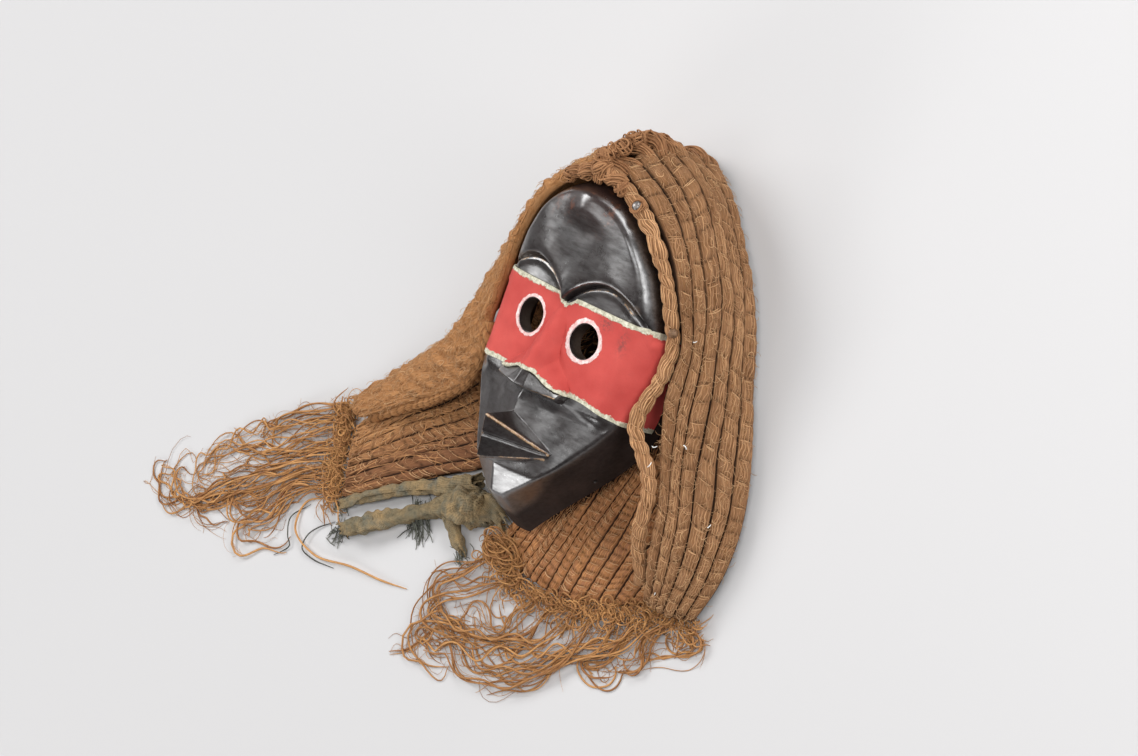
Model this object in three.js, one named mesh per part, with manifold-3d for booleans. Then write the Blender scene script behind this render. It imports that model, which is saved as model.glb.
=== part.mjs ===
import * as THREE from 'three';
import { mergeVertices } from 'three/addons/utils/BufferGeometryUtils.js';
import Module from 'manifold-3d';

// Carved wooden face mask with a hood of wrapped fibre cords, lying face up on a table.
// Millimetres. +Z is up, +Y runs from the chin to the forehead, +X is the wearer's left.
// The origin is on the table, under the middle of the mask.

const wasm = await Module();
wasm.setup();

// Placing of the mask on its hood
const MASK_TILT = THREE.MathUtils.degToRad(6);
const MASK_OFFSET_Y = -4.7;
const MASK_OFFSET_Z = 27.6;

// Outline of the mask, seen from the front
const HALF_WIDTH = 80;
const WIDEST_Y = 15;
const TOP_Y = 128;
const CHIN_Y = -133;
const JAW_HALF_WIDTH = 22;
const JAW_Y = -115;
const JAW_TAPER = 0.7;
const CENTRE_Y = -5;
const WALL = 9;
const CHIN_RIM_LIFT = 9;
const CHIN_SHIFT = -7;
const CHIN_LENGTH = 23;
const ROUNDNESS = 2.2;

// Holes drilled through the side walls for lashing, and how high above the rim they are
const LASHING_RADIUS = 2;
const LASHING_DEPTH = 34;
const LASHING_HEIGHT = 10;
const LASHING_DEGREES = [-57, -93, -123, 22, 158];

// Blocks are made deeper than the rim plane and then cut off there
const BLOCK_FOOT = -12;
const HOLLOW_FOOT = -20;
const ABOVE_ALL = 92;

// Heights of the carved face over the rim plane
const EYE_PLANE = 49;
const FOREHEAD_LOW = 57;
const FOREHEAD_RISE = 8;
const FOREHEAD_ROUNDING = 30;
const FACE_ROUNDING = 8;
const MUZZLE_HEIGHT = 63;
const EYE_X = 27;
const EYE_Y = 14;
const EYE_RADIUS = 12;
const ARCH_FOOT_Y = 33;
const ARCH_RISE = 22;
const ARCH_SPAN = 70;
const BAND_TOP = 38.5;
const BAND_BOTTOM = -25;
const BAND_GAP = 0.35;
const BAND_THICKNESS = 1.3;
const EYE_MARGIN = 0.6;

// Hood of cords
const CORD = 9.5;
const PANEL_STEPS = 11;
const FLAT_PANEL_STEPS = 9;
const EDGE_CORD_RADIUS = 5.6;
const KNOT_CORE_RADIUS = 4;
const TACK_RADIUS = 3.2;

// Fringe strands
const STRAND_RADIUS = 1.7;
const STRAND_LIFT = 7;
const ROOT_HEIGHT = 5;
const HEM_STRIP_RADIUS = 4;

const material = (color, roughness, metalness = 0) =>
  new THREE.MeshStandardMaterial({ color, roughness, metalness });

const WOOD = material(0x241c19, 0.3);
const RED_CLOTH = material(0xb8443f, 0.85);
const CORD_FIBRE = material(0x8a6239, 0.9);
const FRINGE_FIBRE = material(0xa06f35, 0.85);
const RAG_CLOTH = material(0x5a675c, 0.95);
const STEEL = material(0xb9b6ae, 0.35, 0.9);
const RUSTY = material(0x6b4a2c, 0.7, 0.5);

const group = new THREE.Group();

function add(name, geometry, look) {
  const mesh = new THREE.Mesh(geometry, look);
  mesh.name = name;
  group.add(mesh);
  return mesh;
}

function toManifold(geometry) {
  const bare = geometry.clone();
  bare.deleteAttribute('normal');
  bare.deleteAttribute('uv');
  const merged = mergeVertices(bare, 1e-4);
  const mesh = new wasm.Mesh({
    numProp: 3,
    vertProperties: new Float32Array(merged.attributes.position.array),
    triVerts: new Uint32Array(merged.index.array),
  });
  return new wasm.Manifold(mesh);
}

function toGeometry(solid) {
  const mesh = solid.getMesh();
  const geometry = new THREE.BufferGeometry();
  geometry.setAttribute('position', new THREE.BufferAttribute(mesh.vertProperties, 3));
  geometry.setIndex(new THREE.BufferAttribute(mesh.triVerts, 1));
  geometry.computeVertexNormals();
  return geometry;
}

// Closed body from a list of rings with the same number of points. The flat cap outline
// gives the order in which the end caps are filled.
function loft(rings, capOutline) {
  const count = rings[0].length;
  const positions = [];
  const index = [];
  for (const ring of rings) {
    for (const point of ring) {
      positions.push(point.x, point.y, point.z);
    }
  }
  for (let r = 0; r + 1 < rings.length; r++) {
    for (let i = 0; i < count; i++) {
      const a = r * count + i;
      const b = r * count + (i + 1) % count;
      index.push(a, b, a + count, b, b + count, a + count);
    }
  }
  const last = (rings.length - 1) * count;
  const clockwise = THREE.ShapeUtils.isClockWise(capOutline);
  for (const face of THREE.ShapeUtils.triangulateShape(capOutline, [])) {
    const [i, j, k] = clockwise ? face.toReversed() : face;
    index.push(k, j, i);
    index.push(last + i, last + j, last + k);
  }
  const geometry = new THREE.BufferGeometry();
  geometry.setAttribute('position', new THREE.Float32BufferAttribute(positions, 3));
  geometry.setIndex(index);
  return facingOut(geometry);
}

function volume(geometry) {
  const p = geometry.attributes.position;
  const index = geometry.index.array;
  const a = new THREE.Vector3();
  const b = new THREE.Vector3();
  const c = new THREE.Vector3();
  let sum = 0;
  for (let i = 0; i < index.length; i += 3) {
    a.fromBufferAttribute(p, index[i]);
    b.fromBufferAttribute(p, index[i + 1]);
    c.fromBufferAttribute(p, index[i + 2]);
    sum += a.dot(b.cross(c)) / 6;
  }
  return sum;
}

function facingOut(geometry) {
  if (volume(geometry) < 0) {
    const index = geometry.index.array;
    for (let i = 0; i < index.length; i += 3) {
      [index[i + 1], index[i + 2]] = [index[i + 2], index[i + 1]];
    }
  }
  geometry.computeVertexNormals();
  return geometry;
}

const vectors = (points) => points.map(([x, y, z]) => new THREE.Vector3(x, y, z));
const smoothPath = (points) => new THREE.CatmullRomCurve3(vectors(points), false, 'centripetal');

// Minimum and maximum of two heights, rounded over a blend width
function softMin(a, b, blend) {
  const h = Math.max(blend - Math.abs(a - b), 0) / blend;
  return Math.min(a, b) - h * h * blend / 4;
}

const softMax = (a, b, blend) => -softMin(-a, -b, blend);

// Half width of the mask at a height on its outline
function halfWidth(y) {
  if (y > WIDEST_Y) {
    const t = (y - WIDEST_Y) / (TOP_Y - WIDEST_Y);
    return HALF_WIDTH * Math.sqrt(Math.max(0, 1 - t ** ROUNDNESS));
  }
  const t = (WIDEST_Y - y) / (WIDEST_Y - CHIN_Y + 2);
  const temple = HALF_WIDTH * Math.sqrt(Math.max(0, 1 - t ** ROUNDNESS));
  const jaw = JAW_HALF_WIDTH + JAW_TAPER * (y - JAW_Y);
  const chinTop = CHIN_Y + CHIN_LENGTH;
  const c = Math.max(0, (chinTop - y) / CHIN_LENGTH);
  const chin = 1.25 * JAW_HALF_WIDTH * Math.sqrt(Math.max(0, 1 - c ** 2.6));
  const side = softMin(temple, jaw, 12);
  return y < chinTop ? Math.min(side, chin) : side;
}

// Distance from the face centre to the outline in one direction
function outlineRadius(angle) {
  const c = Math.cos(angle);
  const s = Math.sin(angle);
  let low = 0;
  let high = 140;
  for (let step = 0; step < 30; step++) {
    const middle = (low + high) / 2;
    const y = CENTRE_Y + middle * s;
    const inside = y < TOP_Y && y > CHIN_Y && Math.abs(middle * c) < halfWidth(y);
    if (inside) {
      low = middle;
    } else {
      high = middle;
    }
  }
  return low;
}

const smoothstep = (low, high, v) => THREE.MathUtils.smoothstep(v, low, high);

// The hand-carved chin leans a little to one side
const chinLean = (y) => CHIN_SHIFT * smoothstep(60, -CHIN_Y, -y);

// Rise of the rim towards the chin
const rimHeight = (y) => CHIN_RIM_LIFT * smoothstep(50, -CHIN_Y, -y);

// Steepness of the side walls, easier at the chin
const wallSlope = (y) => 5.2 - 3.4 * smoothstep(72, 112, -y);

const archY = (x) => ARCH_FOOT_Y
  + ARCH_RISE * Math.sin(Math.PI * Math.min(Math.abs(x), ARCH_SPAN) / ARCH_SPAN) ** 0.7;

// Front of the lower face before its side walls: the eye plane and the muzzle
function lowerFront(x, y) {
  const ax = Math.abs(x);
  const underBand = 0.6 * Math.max(0, BAND_BOTTOM - 5 - y);
  const eye = softMin(EYE_PLANE - 4 * (x / 58) ** 2, 99.5 - 0.94 * ax, 6) - underBand;
  const towardsNose = 0.35 * Math.max(0, y + 38);
  const towardsChin = 0.5 * Math.max(0, -86 - y);
  const muzzle = MUZZLE_HEIGHT - 0.36 * ax - towardsNose - towardsChin;
  return softMax(eye, muzzle, 5);
}

// Domed forehead, highest near its top
function foreheadFront(x, y) {
  const ax = Math.abs(x);
  return FOREHEAD_LOW + FOREHEAD_RISE * smoothstep(45, 95, y) - 13 * (ax / 63) ** 3.2;
}

// Outer height at a share of the way from the centre of the face to its outline
function outerHeight(front, x, y, radius, share) {
  const wall = wallSlope(y) * radius * (1 - share);
  const rounding = front === foreheadFront ? FOREHEAD_ROUNDING : FACE_ROUNDING;
  return rimHeight(y) + softMin(front(x, y) - rimHeight(y), wall, rounding);
}

// Facets flatter than this are merged
const FACET_TOLERANCE = 0.08;

const OUTER_SIDES = 48;
const OUTER_RINGS = 14;
const INNER_RINGS = 5;

// One ring of the outer surface, moved outwards by a swell
function outerRing(front, share, swell) {
  const place = (t, angle) => {
    const radius = outlineRadius(angle);
    const x = t * radius * Math.cos(angle);
    const y = CENTRE_Y + t * radius * Math.sin(angle);
    return new THREE.Vector3(x + chinLean(y), y, outerHeight(front, x, y, radius, t));
  };
  const ring = [];
  for (let i = 0; i < OUTER_SIDES; i++) {
    const angle = 2 * Math.PI * i / OUTER_SIDES;
    const point = place(share, angle);
    if (swell > 0) {
      const near = Math.max(share, 0.02);
      const along = place(Math.max(share - 0.01, 0.001), angle)
        .sub(place(Math.min(share + 0.01, 1), angle));
      const around = place(near, angle + 0.02).sub(place(near, angle - 0.02));
      const normal = along.cross(around).normalize();
      point.addScaledVector(normal, normal.z < 0 ? -swell : swell);
    }
    ring.push(point);
  }
  return ring;
}

// Shares from the centre to the outline: even on the face, crowded near the rim
const outerShares = [];
for (let r = 0; r < OUTER_RINGS; r++) {
  const t = r / (OUTER_RINGS - 1);
  outerShares.push(t < 0.75 ? 0.05 + 0.8 * t / 0.75 : 0.85 + 0.15 * (t - 0.75) / 0.25);
}

const ringOutline = (count) => Array.from({ length: count }, (_, i) => {
  const angle = 2 * Math.PI * i / count;
  return new THREE.Vector2(Math.cos(angle), Math.sin(angle));
});

// Solid under a carved surface, down to below the rim plane
function faceBlock(front, swell) {
  const rings = outerShares.map((share) => outerRing(front, share, swell));
  const foot = rings[rings.length - 1].map((p) => new THREE.Vector3(p.x, p.y, BLOCK_FOOT));
  rings.push(foot);
  return toManifold(loft(rings, ringOutline(OUTER_SIDES)));
}

// Hollow behind the face, one wall thickness inside the outer surface
function hollowBlock() {
  const rings = [];
  for (let r = 0; r <= INNER_RINGS; r++) {
    const share = 0.08 + 0.92 * Math.sin(0.5 * Math.PI * r / INNER_RINGS);
    const ring = [];
    for (let i = 0; i < OUTER_SIDES; i += 2) {
      const angle = 2 * Math.PI * i / OUTER_SIDES;
      const radius = outlineRadius(angle) - WALL * 1.05;
      const x = share * radius * Math.cos(angle);
      const y = CENTRE_Y + share * radius * Math.sin(angle);
      const slope = wallSlope(y) * radius * (1 - share);
      const face = y > ARCH_FOOT_Y + 12 ? FOREHEAD_LOW - 3 : lowerFront(x, y);
      const front = face - 1.1 * WALL;
      ring.push(new THREE.Vector3(x + chinLean(y), y, softMin(front, rimHeight(y) + slope, 14)));
    }
    rings.push(ring);
  }
  rings.push(rings[rings.length - 1].map((p) => new THREE.Vector3(p.x, p.y, HOLLOW_FOOT)));
  return toManifold(loft(rings, ringOutline(OUTER_SIDES / 2)));
}

const hull = (points) => wasm.Manifold.hull(points);
const bothSides = (points) => points.flatMap(([x, y, z]) => {
  const mirrored = x === 0 ? [] : [[-x, y, z]];
  return [[x, y, z], ...mirrored];
});

// Wedge nose: a ridge from between the brows to a broad cut-off foot
const noseWedge = () => hull(bothSides([
  [0, -6, 60], [0, -28, 73], [8, -27.5, 71.5], [29, -28, 60], [30, -23, 55],
  [0, -31, 66], [28, -31, 55], [14, -6, 47], [0, 0, 40],
])).add(hull(bothSides([
  [0, 31, 48.5], [5, 28, 47], [0, -25, 71.5], [10, -20, 62], [11, 0, 45], [0, 0, 40],
])));

// Beak mouth: upper and lower lip meet in a point, with steep sides down to the face
const mouthBeak = () => hull(bothSides([
  [0, -52, 88], [0, -66, 85.5], [0, -83, 81], [34, -65, 52], [32, -69, 52],
  [0, -47, 60], [0, -86, 55], [34, -63, 46], [28, -75, 46], [0, -50, 45],
]));

const roundBar = (x, y, radius) => wasm.Manifold
  .cylinder(ABOVE_ALL, radius, radius, 20)
  .translate([x, y, 0]);

// Small hole drilled through the side wall for lashing, at a place on the rim
function lashingHole(angle, height) {
  const radius = outlineRadius(angle);
  return wasm.Manifold.cylinder(LASHING_DEPTH, LASHING_RADIUS, LASHING_RADIUS, 8)
    .rotate([0, 90, 0])
    .translate([radius - 22, 0, height])
    .rotate([0, 0, THREE.MathUtils.radToDeg(angle)])
    .translate([0, CENTRE_Y, 0]);
}

function carvedMask() {
  let solid = faceBlock(lowerFront, 0);
  solid = solid.add(faceBlock(foreheadFront, 0).intersect(archPrism()));
  solid = solid.add(noseWedge()).add(mouthBeak());
  solid = solid.subtract(hollowBlock());
  solid = solid.subtract(rimCutter());
  for (const side of [-1, 1]) {
    solid = solid.subtract(roundBar(side * EYE_X, EYE_Y, EYE_RADIUS));
  }
  for (const angle of LASHING_DEGREES.map(THREE.MathUtils.degToRad)) {
    const y = CENTRE_Y + outlineRadius(angle) * Math.sin(angle);
    solid = solid.subtract(lashingHole(angle, rimHeight(y) + LASHING_HEIGHT));
  }
  return solid.simplify(1.3 * FACET_TOLERANCE);
}

// Everything below the rim, which rises towards the chin
function rimCutter() {
  const steps = 12;
  const rings = [];
  for (let i = 0; i <= steps; i++) {
    const y = THREE.MathUtils.lerp(CHIN_Y - 5, TOP_Y + 5, i / steps);
    const top = rimHeight(y);
    rings.push(vectors([[-100, y, -30], [100, y, -30], [100, y, top], [-100, y, top]]));
  }
  const square = [[-1, -1], [1, -1], [1, 1], [-1, 1]].map(([x, y]) => new THREE.Vector2(x, y));
  return toManifold(loft(rings, square));
}

// Upright prism over everything above the two brow arches
function archPrism() {
  const steps = 32;
  const shape = new THREE.Shape();
  shape.moveTo(-100, TOP_Y + 20);
  for (let i = 0; i <= steps; i++) {
    const x = THREE.MathUtils.lerp(-100, 100, i / steps);
    shape.lineTo(x, archY(x));
  }
  shape.lineTo(100, TOP_Y + 20);
  const depth = ABOVE_ALL - HOLLOW_FOOT;
  const prism = new THREE.ExtrudeGeometry(shape, { depth, bevelEnabled: false });
  return toManifold(prism.translate(0, 0, HOLLOW_FOOT));
}

// Prism over the area that the red cloth covers, with its dip at the bridge of the nose
function bandPrism() {
  const half = HALF_WIDTH + 6;
  const shape = new THREE.Shape();
  shape.moveTo(-half, BAND_BOTTOM - 3);
  shape.lineTo(-45, BAND_BOTTOM + 2);
  shape.quadraticCurveTo(-22, BAND_BOTTOM + 8, 0, BAND_BOTTOM + 7);
  shape.quadraticCurveTo(14, BAND_BOTTOM + 6, 26, BAND_BOTTOM + 1);
  shape.lineTo(62, BAND_BOTTOM + 2);
  shape.lineTo(half, BAND_BOTTOM - 4);
  shape.lineTo(half, BAND_TOP);
  shape.lineTo(10, BAND_TOP);
  shape.lineTo(2, BAND_TOP - 6.5);
  shape.lineTo(-6, BAND_TOP);
  shape.lineTo(-half, BAND_TOP - 1);
  const settings = { depth: ABOVE_ALL, bevelEnabled: false, curveSegments: 4 };
  const prism = new THREE.ExtrudeGeometry(shape, settings);
  return toManifold(prism.translate(0, 0, 8));
}

function eyeBand() {
  const grow = (swell) => faceBlock(lowerFront, swell).add(scaledNose(swell));
  const brow = faceBlock(foreheadFront, BAND_GAP).intersect(archPrism());
  let band = grow(BAND_GAP + BAND_THICKNESS).subtract(grow(BAND_GAP)).intersect(bandPrism());
  band = band.subtract(brow.translate([0, -BAND_GAP, 0])).subtract(brow);
  for (const side of [-1, 1]) {
    band = band.subtract(roundBar(side * EYE_X, EYE_Y, EYE_RADIUS + EYE_MARGIN));
  }
  return band.simplify(1.7 * FACET_TOLERANCE);
}

// The nose grown by the cloth's gap or thickness
function scaledNose(swell) {
  const wedge = noseWedge();
  return wedge.translate([0, -swell * 0.6, swell * 1.3]).add(wedge);
}

const placed = new THREE.Group();
placed.rotation.x = MASK_TILT;
placed.position.set(0, MASK_OFFSET_Y, MASK_OFFSET_Z);
group.add(placed);

const face = new THREE.Mesh(toGeometry(carvedMask()), WOOD);
face.name = 'wooden_mask';
placed.add(face);

const band = new THREE.Mesh(toGeometry(eyeBand()), RED_CLOTH);
band.name = 'red_eye_band';
placed.add(band);

// One half-side of the hood: cords lying side by side on a surface spanned by guide lines,
// each from the crest of the head to the hem. The outline of the cross-section is ribbed.
function cordPanel(guides, cords, { ribbedSide, onTable = false, crown = [0.25, 0.75] }) {
  const steps = onTable ? FLAT_PANEL_STEPS : PANEL_STEPS;
  const lines = guides.map(smoothPath);
  const surface = (u, v) => {
    const row = new THREE.CatmullRomCurve3(lines.map((line) => line.getPoint(u)), false, 'centripetal');
    return row.getPoint(v);
  };
  const outline = [[0, 0.2]];
  for (let i = 0; i < cords; i++) {
    outline.push(...crown.map((place) => [(i + place) / cords, 0.5]), [(i + 1) / cords, 0.22]);
  }
  outline.push([1, -0.22]);
  for (let i = cords - 1; i >= 0; i -= 2) {
    outline.push([(i + 0.5) / cords, -0.5]);
  }
  outline.push([0, -0.2]);
  const rings = [];
  for (let k = 0; k <= steps; k++) {
    const u = k / steps;
    const back = Math.max(u - 0.01, 0);
    const ahead = Math.min(u + 0.01, 1);
    rings.push(outline.map(([v, h]) => {
      const left = Math.max(v - 0.02, 0);
      const right = Math.min(v + 0.02, 1);
      const along = surface(ahead, v).sub(surface(back, v));
      const across = surface(u, right).sub(surface(u, left));
      const normal = across.cross(along).normalize();
      const point = surface(u, v).addScaledVector(normal, ribbedSide * h * CORD);
      const low = onTable && h < 0 ? 0 : Math.max(point.z, 0);
      return point.setZ(low);
    }));
  }
  const cap = outline.map(([v, h]) => new THREE.Vector2(v * cords, h));
  return loft(rings, cap);
}

// Tube of a round section along a path
function tube(points, radius, sides, steps) {
  const section = new THREE.Shape();
  for (let i = 0; i < sides; i++) {
    const angle = 2 * Math.PI * i / sides;
    section[i === 0 ? 'moveTo' : 'lineTo'](radius * Math.cos(angle), radius * Math.sin(angle));
  }
  section.closePath();
  const extrudePath = smoothPath(points);
  return new THREE.ExtrudeGeometry(section, { steps, bevelEnabled: false, extrudePath });
}

// Guide lines from the crest to the hem; the first is the edge beside the face
const RIGHT_SIDE = [
  [[8, 122, 93], [42, 105, 86], [67, 83, 79.5], [81, 54, 67.5], [88.8, 27, 54.5],
    [91, -8, 51], [99.5, -36, 46], [111, -75, 37], [114, -107, 27], [118, -138, 17]],
  [[8, 144, 60], [40, 127, 50], [68, 98, 45], [91, 60, 40], [104, 22, 37],
    [115, -12, 34], [123, -44, 31], [132, -76, 27], [135, -108, 22], [133, -139, 17]],
  [[11, 147, 8], [40, 124, 5], [70, 92, 5], [99, 54, 5], [119, 14, 5],
    [137, -18, 5], [151, -50, 5], [157, -78, 5], [157, -106, 5], [151, -135, 6]],
];

const LEFT_SIDE = [
  [[-6, 116, 98], [-32, 103, 92], [-56, 83, 85], [-74, 54, 72], [-82, 20, 60],
    [-84, -12, 54], [-84, -40, 47], [-98, -66, 37], [-140, -92, 26], [-200, -128, 15]],
  [[-8, 144, 60], [-42, 122, 58], [-70, 92, 55], [-90, 57, 51], [-101, 20, 49],
    [-109, -14, 47], [-124, -42, 40], [-146, -66, 31], [-180, -96, 20], [-214, -129, 15]],
  [[-10, 147, 8], [-42, 124, 5], [-76, 94, 5], [-102, 56, 5], [-120, 16, 5],
    [-132, -12, 5], [-146, -36, 5], [-166, -58, 5], [-195, -88, 5], [-227, -122, 5]],
];

const LOW = CORD / 2 - 0.05;

const RIGHT_BACK = [
  [[12, 134, LOW], [34, 112, LOW], [58, 84, LOW], [86, 46, LOW], [107, 10, LOW],
    [125, -20, LOW], [139, -50, LOW], [144, -78, LOW], [142, -106, LOW], [134, -133, LOW]],
  [[6, 131, LOW], [14, 106, LOW], [24, 78, LOW], [36, 44, LOW], [45, 8, LOW],
    [51, -26, LOW], [54, -60, LOW], [47, -94, LOW], [39, -130, LOW], [31, -169, LOW]],
  [[0, 129, LOW], [-7, 103, LOW], [-12, 76, LOW], [-15, 42, LOW], [-16, 8, LOW],
    [-16, -26, LOW], [-15, -60, LOW], [-18, -94, LOW], [-26, -128, LOW], [-38, -163, LOW]],
];

const LEFT_BACK = [
  [[-12, 134, LOW], [-38, 112, LOW], [-68, 84, LOW], [-92, 48, LOW], [-110, 10, LOW],
    [-122, -18, LOW], [-136, -45, LOW], [-154, -69, LOW], [-182, -101, LOW], [-213, -138, LOW]],
  [[-7, 131, LOW], [-24, 106, LOW], [-42, 78, LOW], [-55, 42, LOW], [-65, 4, LOW],
    [-73, -30, LOW], [-88, -60, LOW], [-114, -88, LOW], [-156, -118, LOW], [-209, -161, LOW]],
  [[-1.5, 129, LOW], [-8.5, 103, LOW], [-13.5, 76, LOW], [-16.5, 42, LOW], [-17.5, 8, LOW],
    [-18, -28, LOW], [-30, -68, LOW], [-58, -104, LOW], [-116, -141, LOW], [-198, -192, LOW]],
];

// The back panels are flat on the table, with one ridge for each cord
const FLAT = { onTable: true, crown: [0.5] };

add('hood_right_side', cordPanel(RIGHT_SIDE, 6, { ribbedSide: -1 }), CORD_FIBRE);
add('hood_left_side', cordPanel(LEFT_SIDE, 8, { ribbedSide: 1 }), CORD_FIBRE);
add('hood_right_back', cordPanel(RIGHT_BACK, 16, { ribbedSide: 1, ...FLAT }), CORD_FIBRE);
add('hood_left_back', cordPanel(LEFT_BACK, 9, { ribbedSide: -1, ...FLAT }), CORD_FIBRE);

// Thick cord along the right front edge of the hood; it leaves the others beside the cheek
const EDGE_CORD = [
  [8, 114.5, 98], [17, 111, 95.5], [29.5, 105, 93], [43, 96.5, 90], [54, 86.5, 86], [62, 76, 81],
  [69, 64.5, 74.5], [73.5, 53, 69], [78, 40.5, 63.5], [82, 27, 57.5], [83, 11, 56], [82.5, -4.5, 57],
  [80.5, -17, 58.5], [79.5, -29, 58], [84, -38, 57], [91, -46, 53.5], [98, -55, 50], [103, -66, 46.5],
  [104, -78, 43], [103, -91, 39.5], [104, -104, 34], [107, -116, 27.5], [109.5, -128, 21],
];
add('hood_edge_cord', tube(EDGE_CORD, EDGE_CORD_RADIUS, 7, 30), CORD_FIBRE);

// Row of knots where the cords of both sides meet at the crest of the head
const CREST_KNOTS = [
  [-0.5, 113, 99.5, 6], [0, 122, 96, 6.5], [0, 130, 91, 7], [0, 138, 82, 7.5], [0, 143, 68, 7],
  [0, 144, 54, 7.5], [0, 144, 40, 7], [1, 144, 26, 7.5], [2, 143, 13, 7],
];

function crest() {
  const knots = CREST_KNOTS.map(([x, y, z, radius]) => {
    const ball = new THREE.SphereGeometry(radius, 6, 3);
    return toManifold(ball.scale(0.85, 1, 1).translate(x, y, z));
  });
  const core = tube(CREST_KNOTS.map(([x, y, z]) => [x, y, z]), KNOT_CORE_RADIUS, 5, 7);
  return wasm.Manifold.union([...knots, toManifold(core)]).simplify(4 * FACET_TOLERANCE);
}
add('crest_knots', toGeometry(crest()), CORD_FIBRE);

// Loose end of a cord, drawn on the table from its root on the hem to its tip
function strand(path, order) {
  const points = path.map(([x, y], i) => {
    const t = i / (path.length - 1);
    const crossing = STRAND_LIFT * Math.sin(Math.PI * t) * (0.5 + 0.5 * Math.sin(1.7 * order));
    const z = THREE.MathUtils.lerp(ROOT_HEIGHT, STRAND_RADIUS + 0.1, Math.min(1, 2 * t));
    return [x, y, z + crossing];
  });
  return toManifold(tube(points, STRAND_RADIUS, 3, path.length - 1));
}

// Fringe: a knotted strip along the hem with the loose ends of the cords
function fringe(hem, strands) {
  const strip = toManifold(tube(hem, HEM_STRIP_RADIUS, 6, 8));
  return wasm.Manifold.union([strip, ...strands]).simplify(4 * FACET_TOLERANCE);
}

const LEFT_HEM = [[-231, -129, 5], [-225, -148, 5], [-216, -174, 5], [-206, -198, 5]];
const LEFT_STRANDS = [
  [[-231, -130], [-251, -141], [-280, -157], [-300, -170], [-301, -177], [-293, -186]],
  [[-229, -138], [-260, -154], [-298, -176], [-319, -186], [-340, -206], [-348, -228], [-355, -256]],
  [[-227, -146], [-258, -163], [-290, -190], [-330, -204], [-360, -226], [-366, -240], [-345, -248]],
  [[-224, -154], [-262, -176], [-289, -196], [-330, -211], [-365, -229]],
  [[-221, -162], [-257, -182], [-300, -211], [-335, -232], [-365, -254]],
  [[-218, -170], [-262, -192], [-310, -223], [-353, -257], [-378, -262], [-386, -247], [-368, -240]],
  [[-217, -175], [-262, -200], [-314, -240], [-361, -264], [-392, -271], [-409, -262], [-405, -248]],
  [[-214, -180], [-254, -200], [-289, -236], [-330, -250], [-352, -262], [-336, -267], [-312, -258]],
  [[-212, -186], [-245, -204], [-264, -226], [-281, -244], [-307, -250], [-318, -238], [-304, -226]],
  [[-210, -192], [-250, -208], [-262, -236], [-285, -253], [-286, -263], [-262, -254], [-246, -236]],
  [[-208, -197], [-237, -212], [-236, -234], [-205, -243], [-165, -235], [-130, -231], [-104, -226]],
];
const RIGHT_HEM = [
  [-40, -170, 5], [-5, -178, 5], [32, -177, 5], [72, -166, 6], [110, -150, 8], [152, -142, 5],
];
const RIGHT_STRANDS = [
  [[-38, -170], [-56, -190], [-74, -211], [-60, -230], [-42, -234], [-30, -242]],
  [[-10, -177], [-40, -200], [-66, -214], [-73, -232], [-50, -238], [-30, -230]],
  [[20, -178], [9, -194], [4, -212], [-16, -217], [-33, -211], [-38, -224], [-30, -232]],
  [[34, -177], [20, -205], [-8, -221], [-40, -230], [-60, -238], [-80, -262], [-94, -274]],
  [[56, -171], [40, -205], [10, -219], [-20, -233], [-55, -238], [-74, -250], [-58, -256], [-42, -246]],
  [[74, -166], [62, -205], [34, -233], [6, -245], [-22, -247], [-45, -236], [-63, -239]],
  [[92, -158], [80, -188], [50, -209], [31, -232], [6, -240], [-24, -242], [-50, -228]],
  [[106, -152], [96, -186], [76, -201], [90, -206], [103, -200], [106, -186]],
  [[120, -147], [104, -172], [70, -198], [40, -216], [14, -230], [-6, -236]],
  [[134, -144], [121, -166], [120, -180], [106, -188], [84, -190]],
  [[149, -142], [160, -148], [154, -158], [134, -164], [116, -170]],
];
add('left_fringe', toGeometry(fringe(LEFT_HEM, LEFT_STRANDS.map(strand))), FRINGE_FIBRE);
add('right_fringe', toGeometry(fringe(RIGHT_HEM, RIGHT_STRANDS.map(strand))), FRINGE_FIBRE);

// Strip of cloth tied at the chin: a twisted roll that ends in a knot with a loose tail
const RAG_ROLL = [
  [-185, -214, 6, 5.5], [-172, -206, 8.5, 8], [-154, -194, 9, 8.5], [-132, -180, 7, 6.5],
  [-112, -167, 7, 6.5], [-94, -156, 10, 9.5], [-78, -149, 15, 14], [-61, -143, 15.5, 15],
  [-46, -143, 9, 8],
];
const RAG_TAIL = [
  [-70, -150, 11, 10.5], [-62, -162, 10, 9.5], [-60, -173, 6, 5.5], [-65, -183, 3, 2.5],
];

function clothRoll(stations, sides) {
  const path = smoothPath(stations.map(([x, y, z]) => [x, y, z]));
  const rings = stations.map(([, , , radius], k) => {
    const u = k / (stations.length - 1);
    const centre = path.getPoint(u);
    const side = new THREE.Vector3(0, 0, 1).cross(path.getTangent(u)).normalize();
    return Array.from({ length: sides }, (_, i) => {
      const angle = 2 * Math.PI * i / sides;
      const fold = radius * (1 + 0.14 * Math.cos(3 * angle + 1.3 * k));
      const point = centre.clone().addScaledVector(side, fold * Math.cos(angle));
      return point.setZ(Math.max(centre.z + fold * 0.9 * Math.sin(angle), 0.2));
    });
  });
  return toManifold(loft(rings, ringOutline(sides)));
}
add('cloth_strip', toGeometry(clothRoll(RAG_ROLL, 9).add(clothRoll(RAG_TAIL, 7))), RAG_CLOTH);

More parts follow.
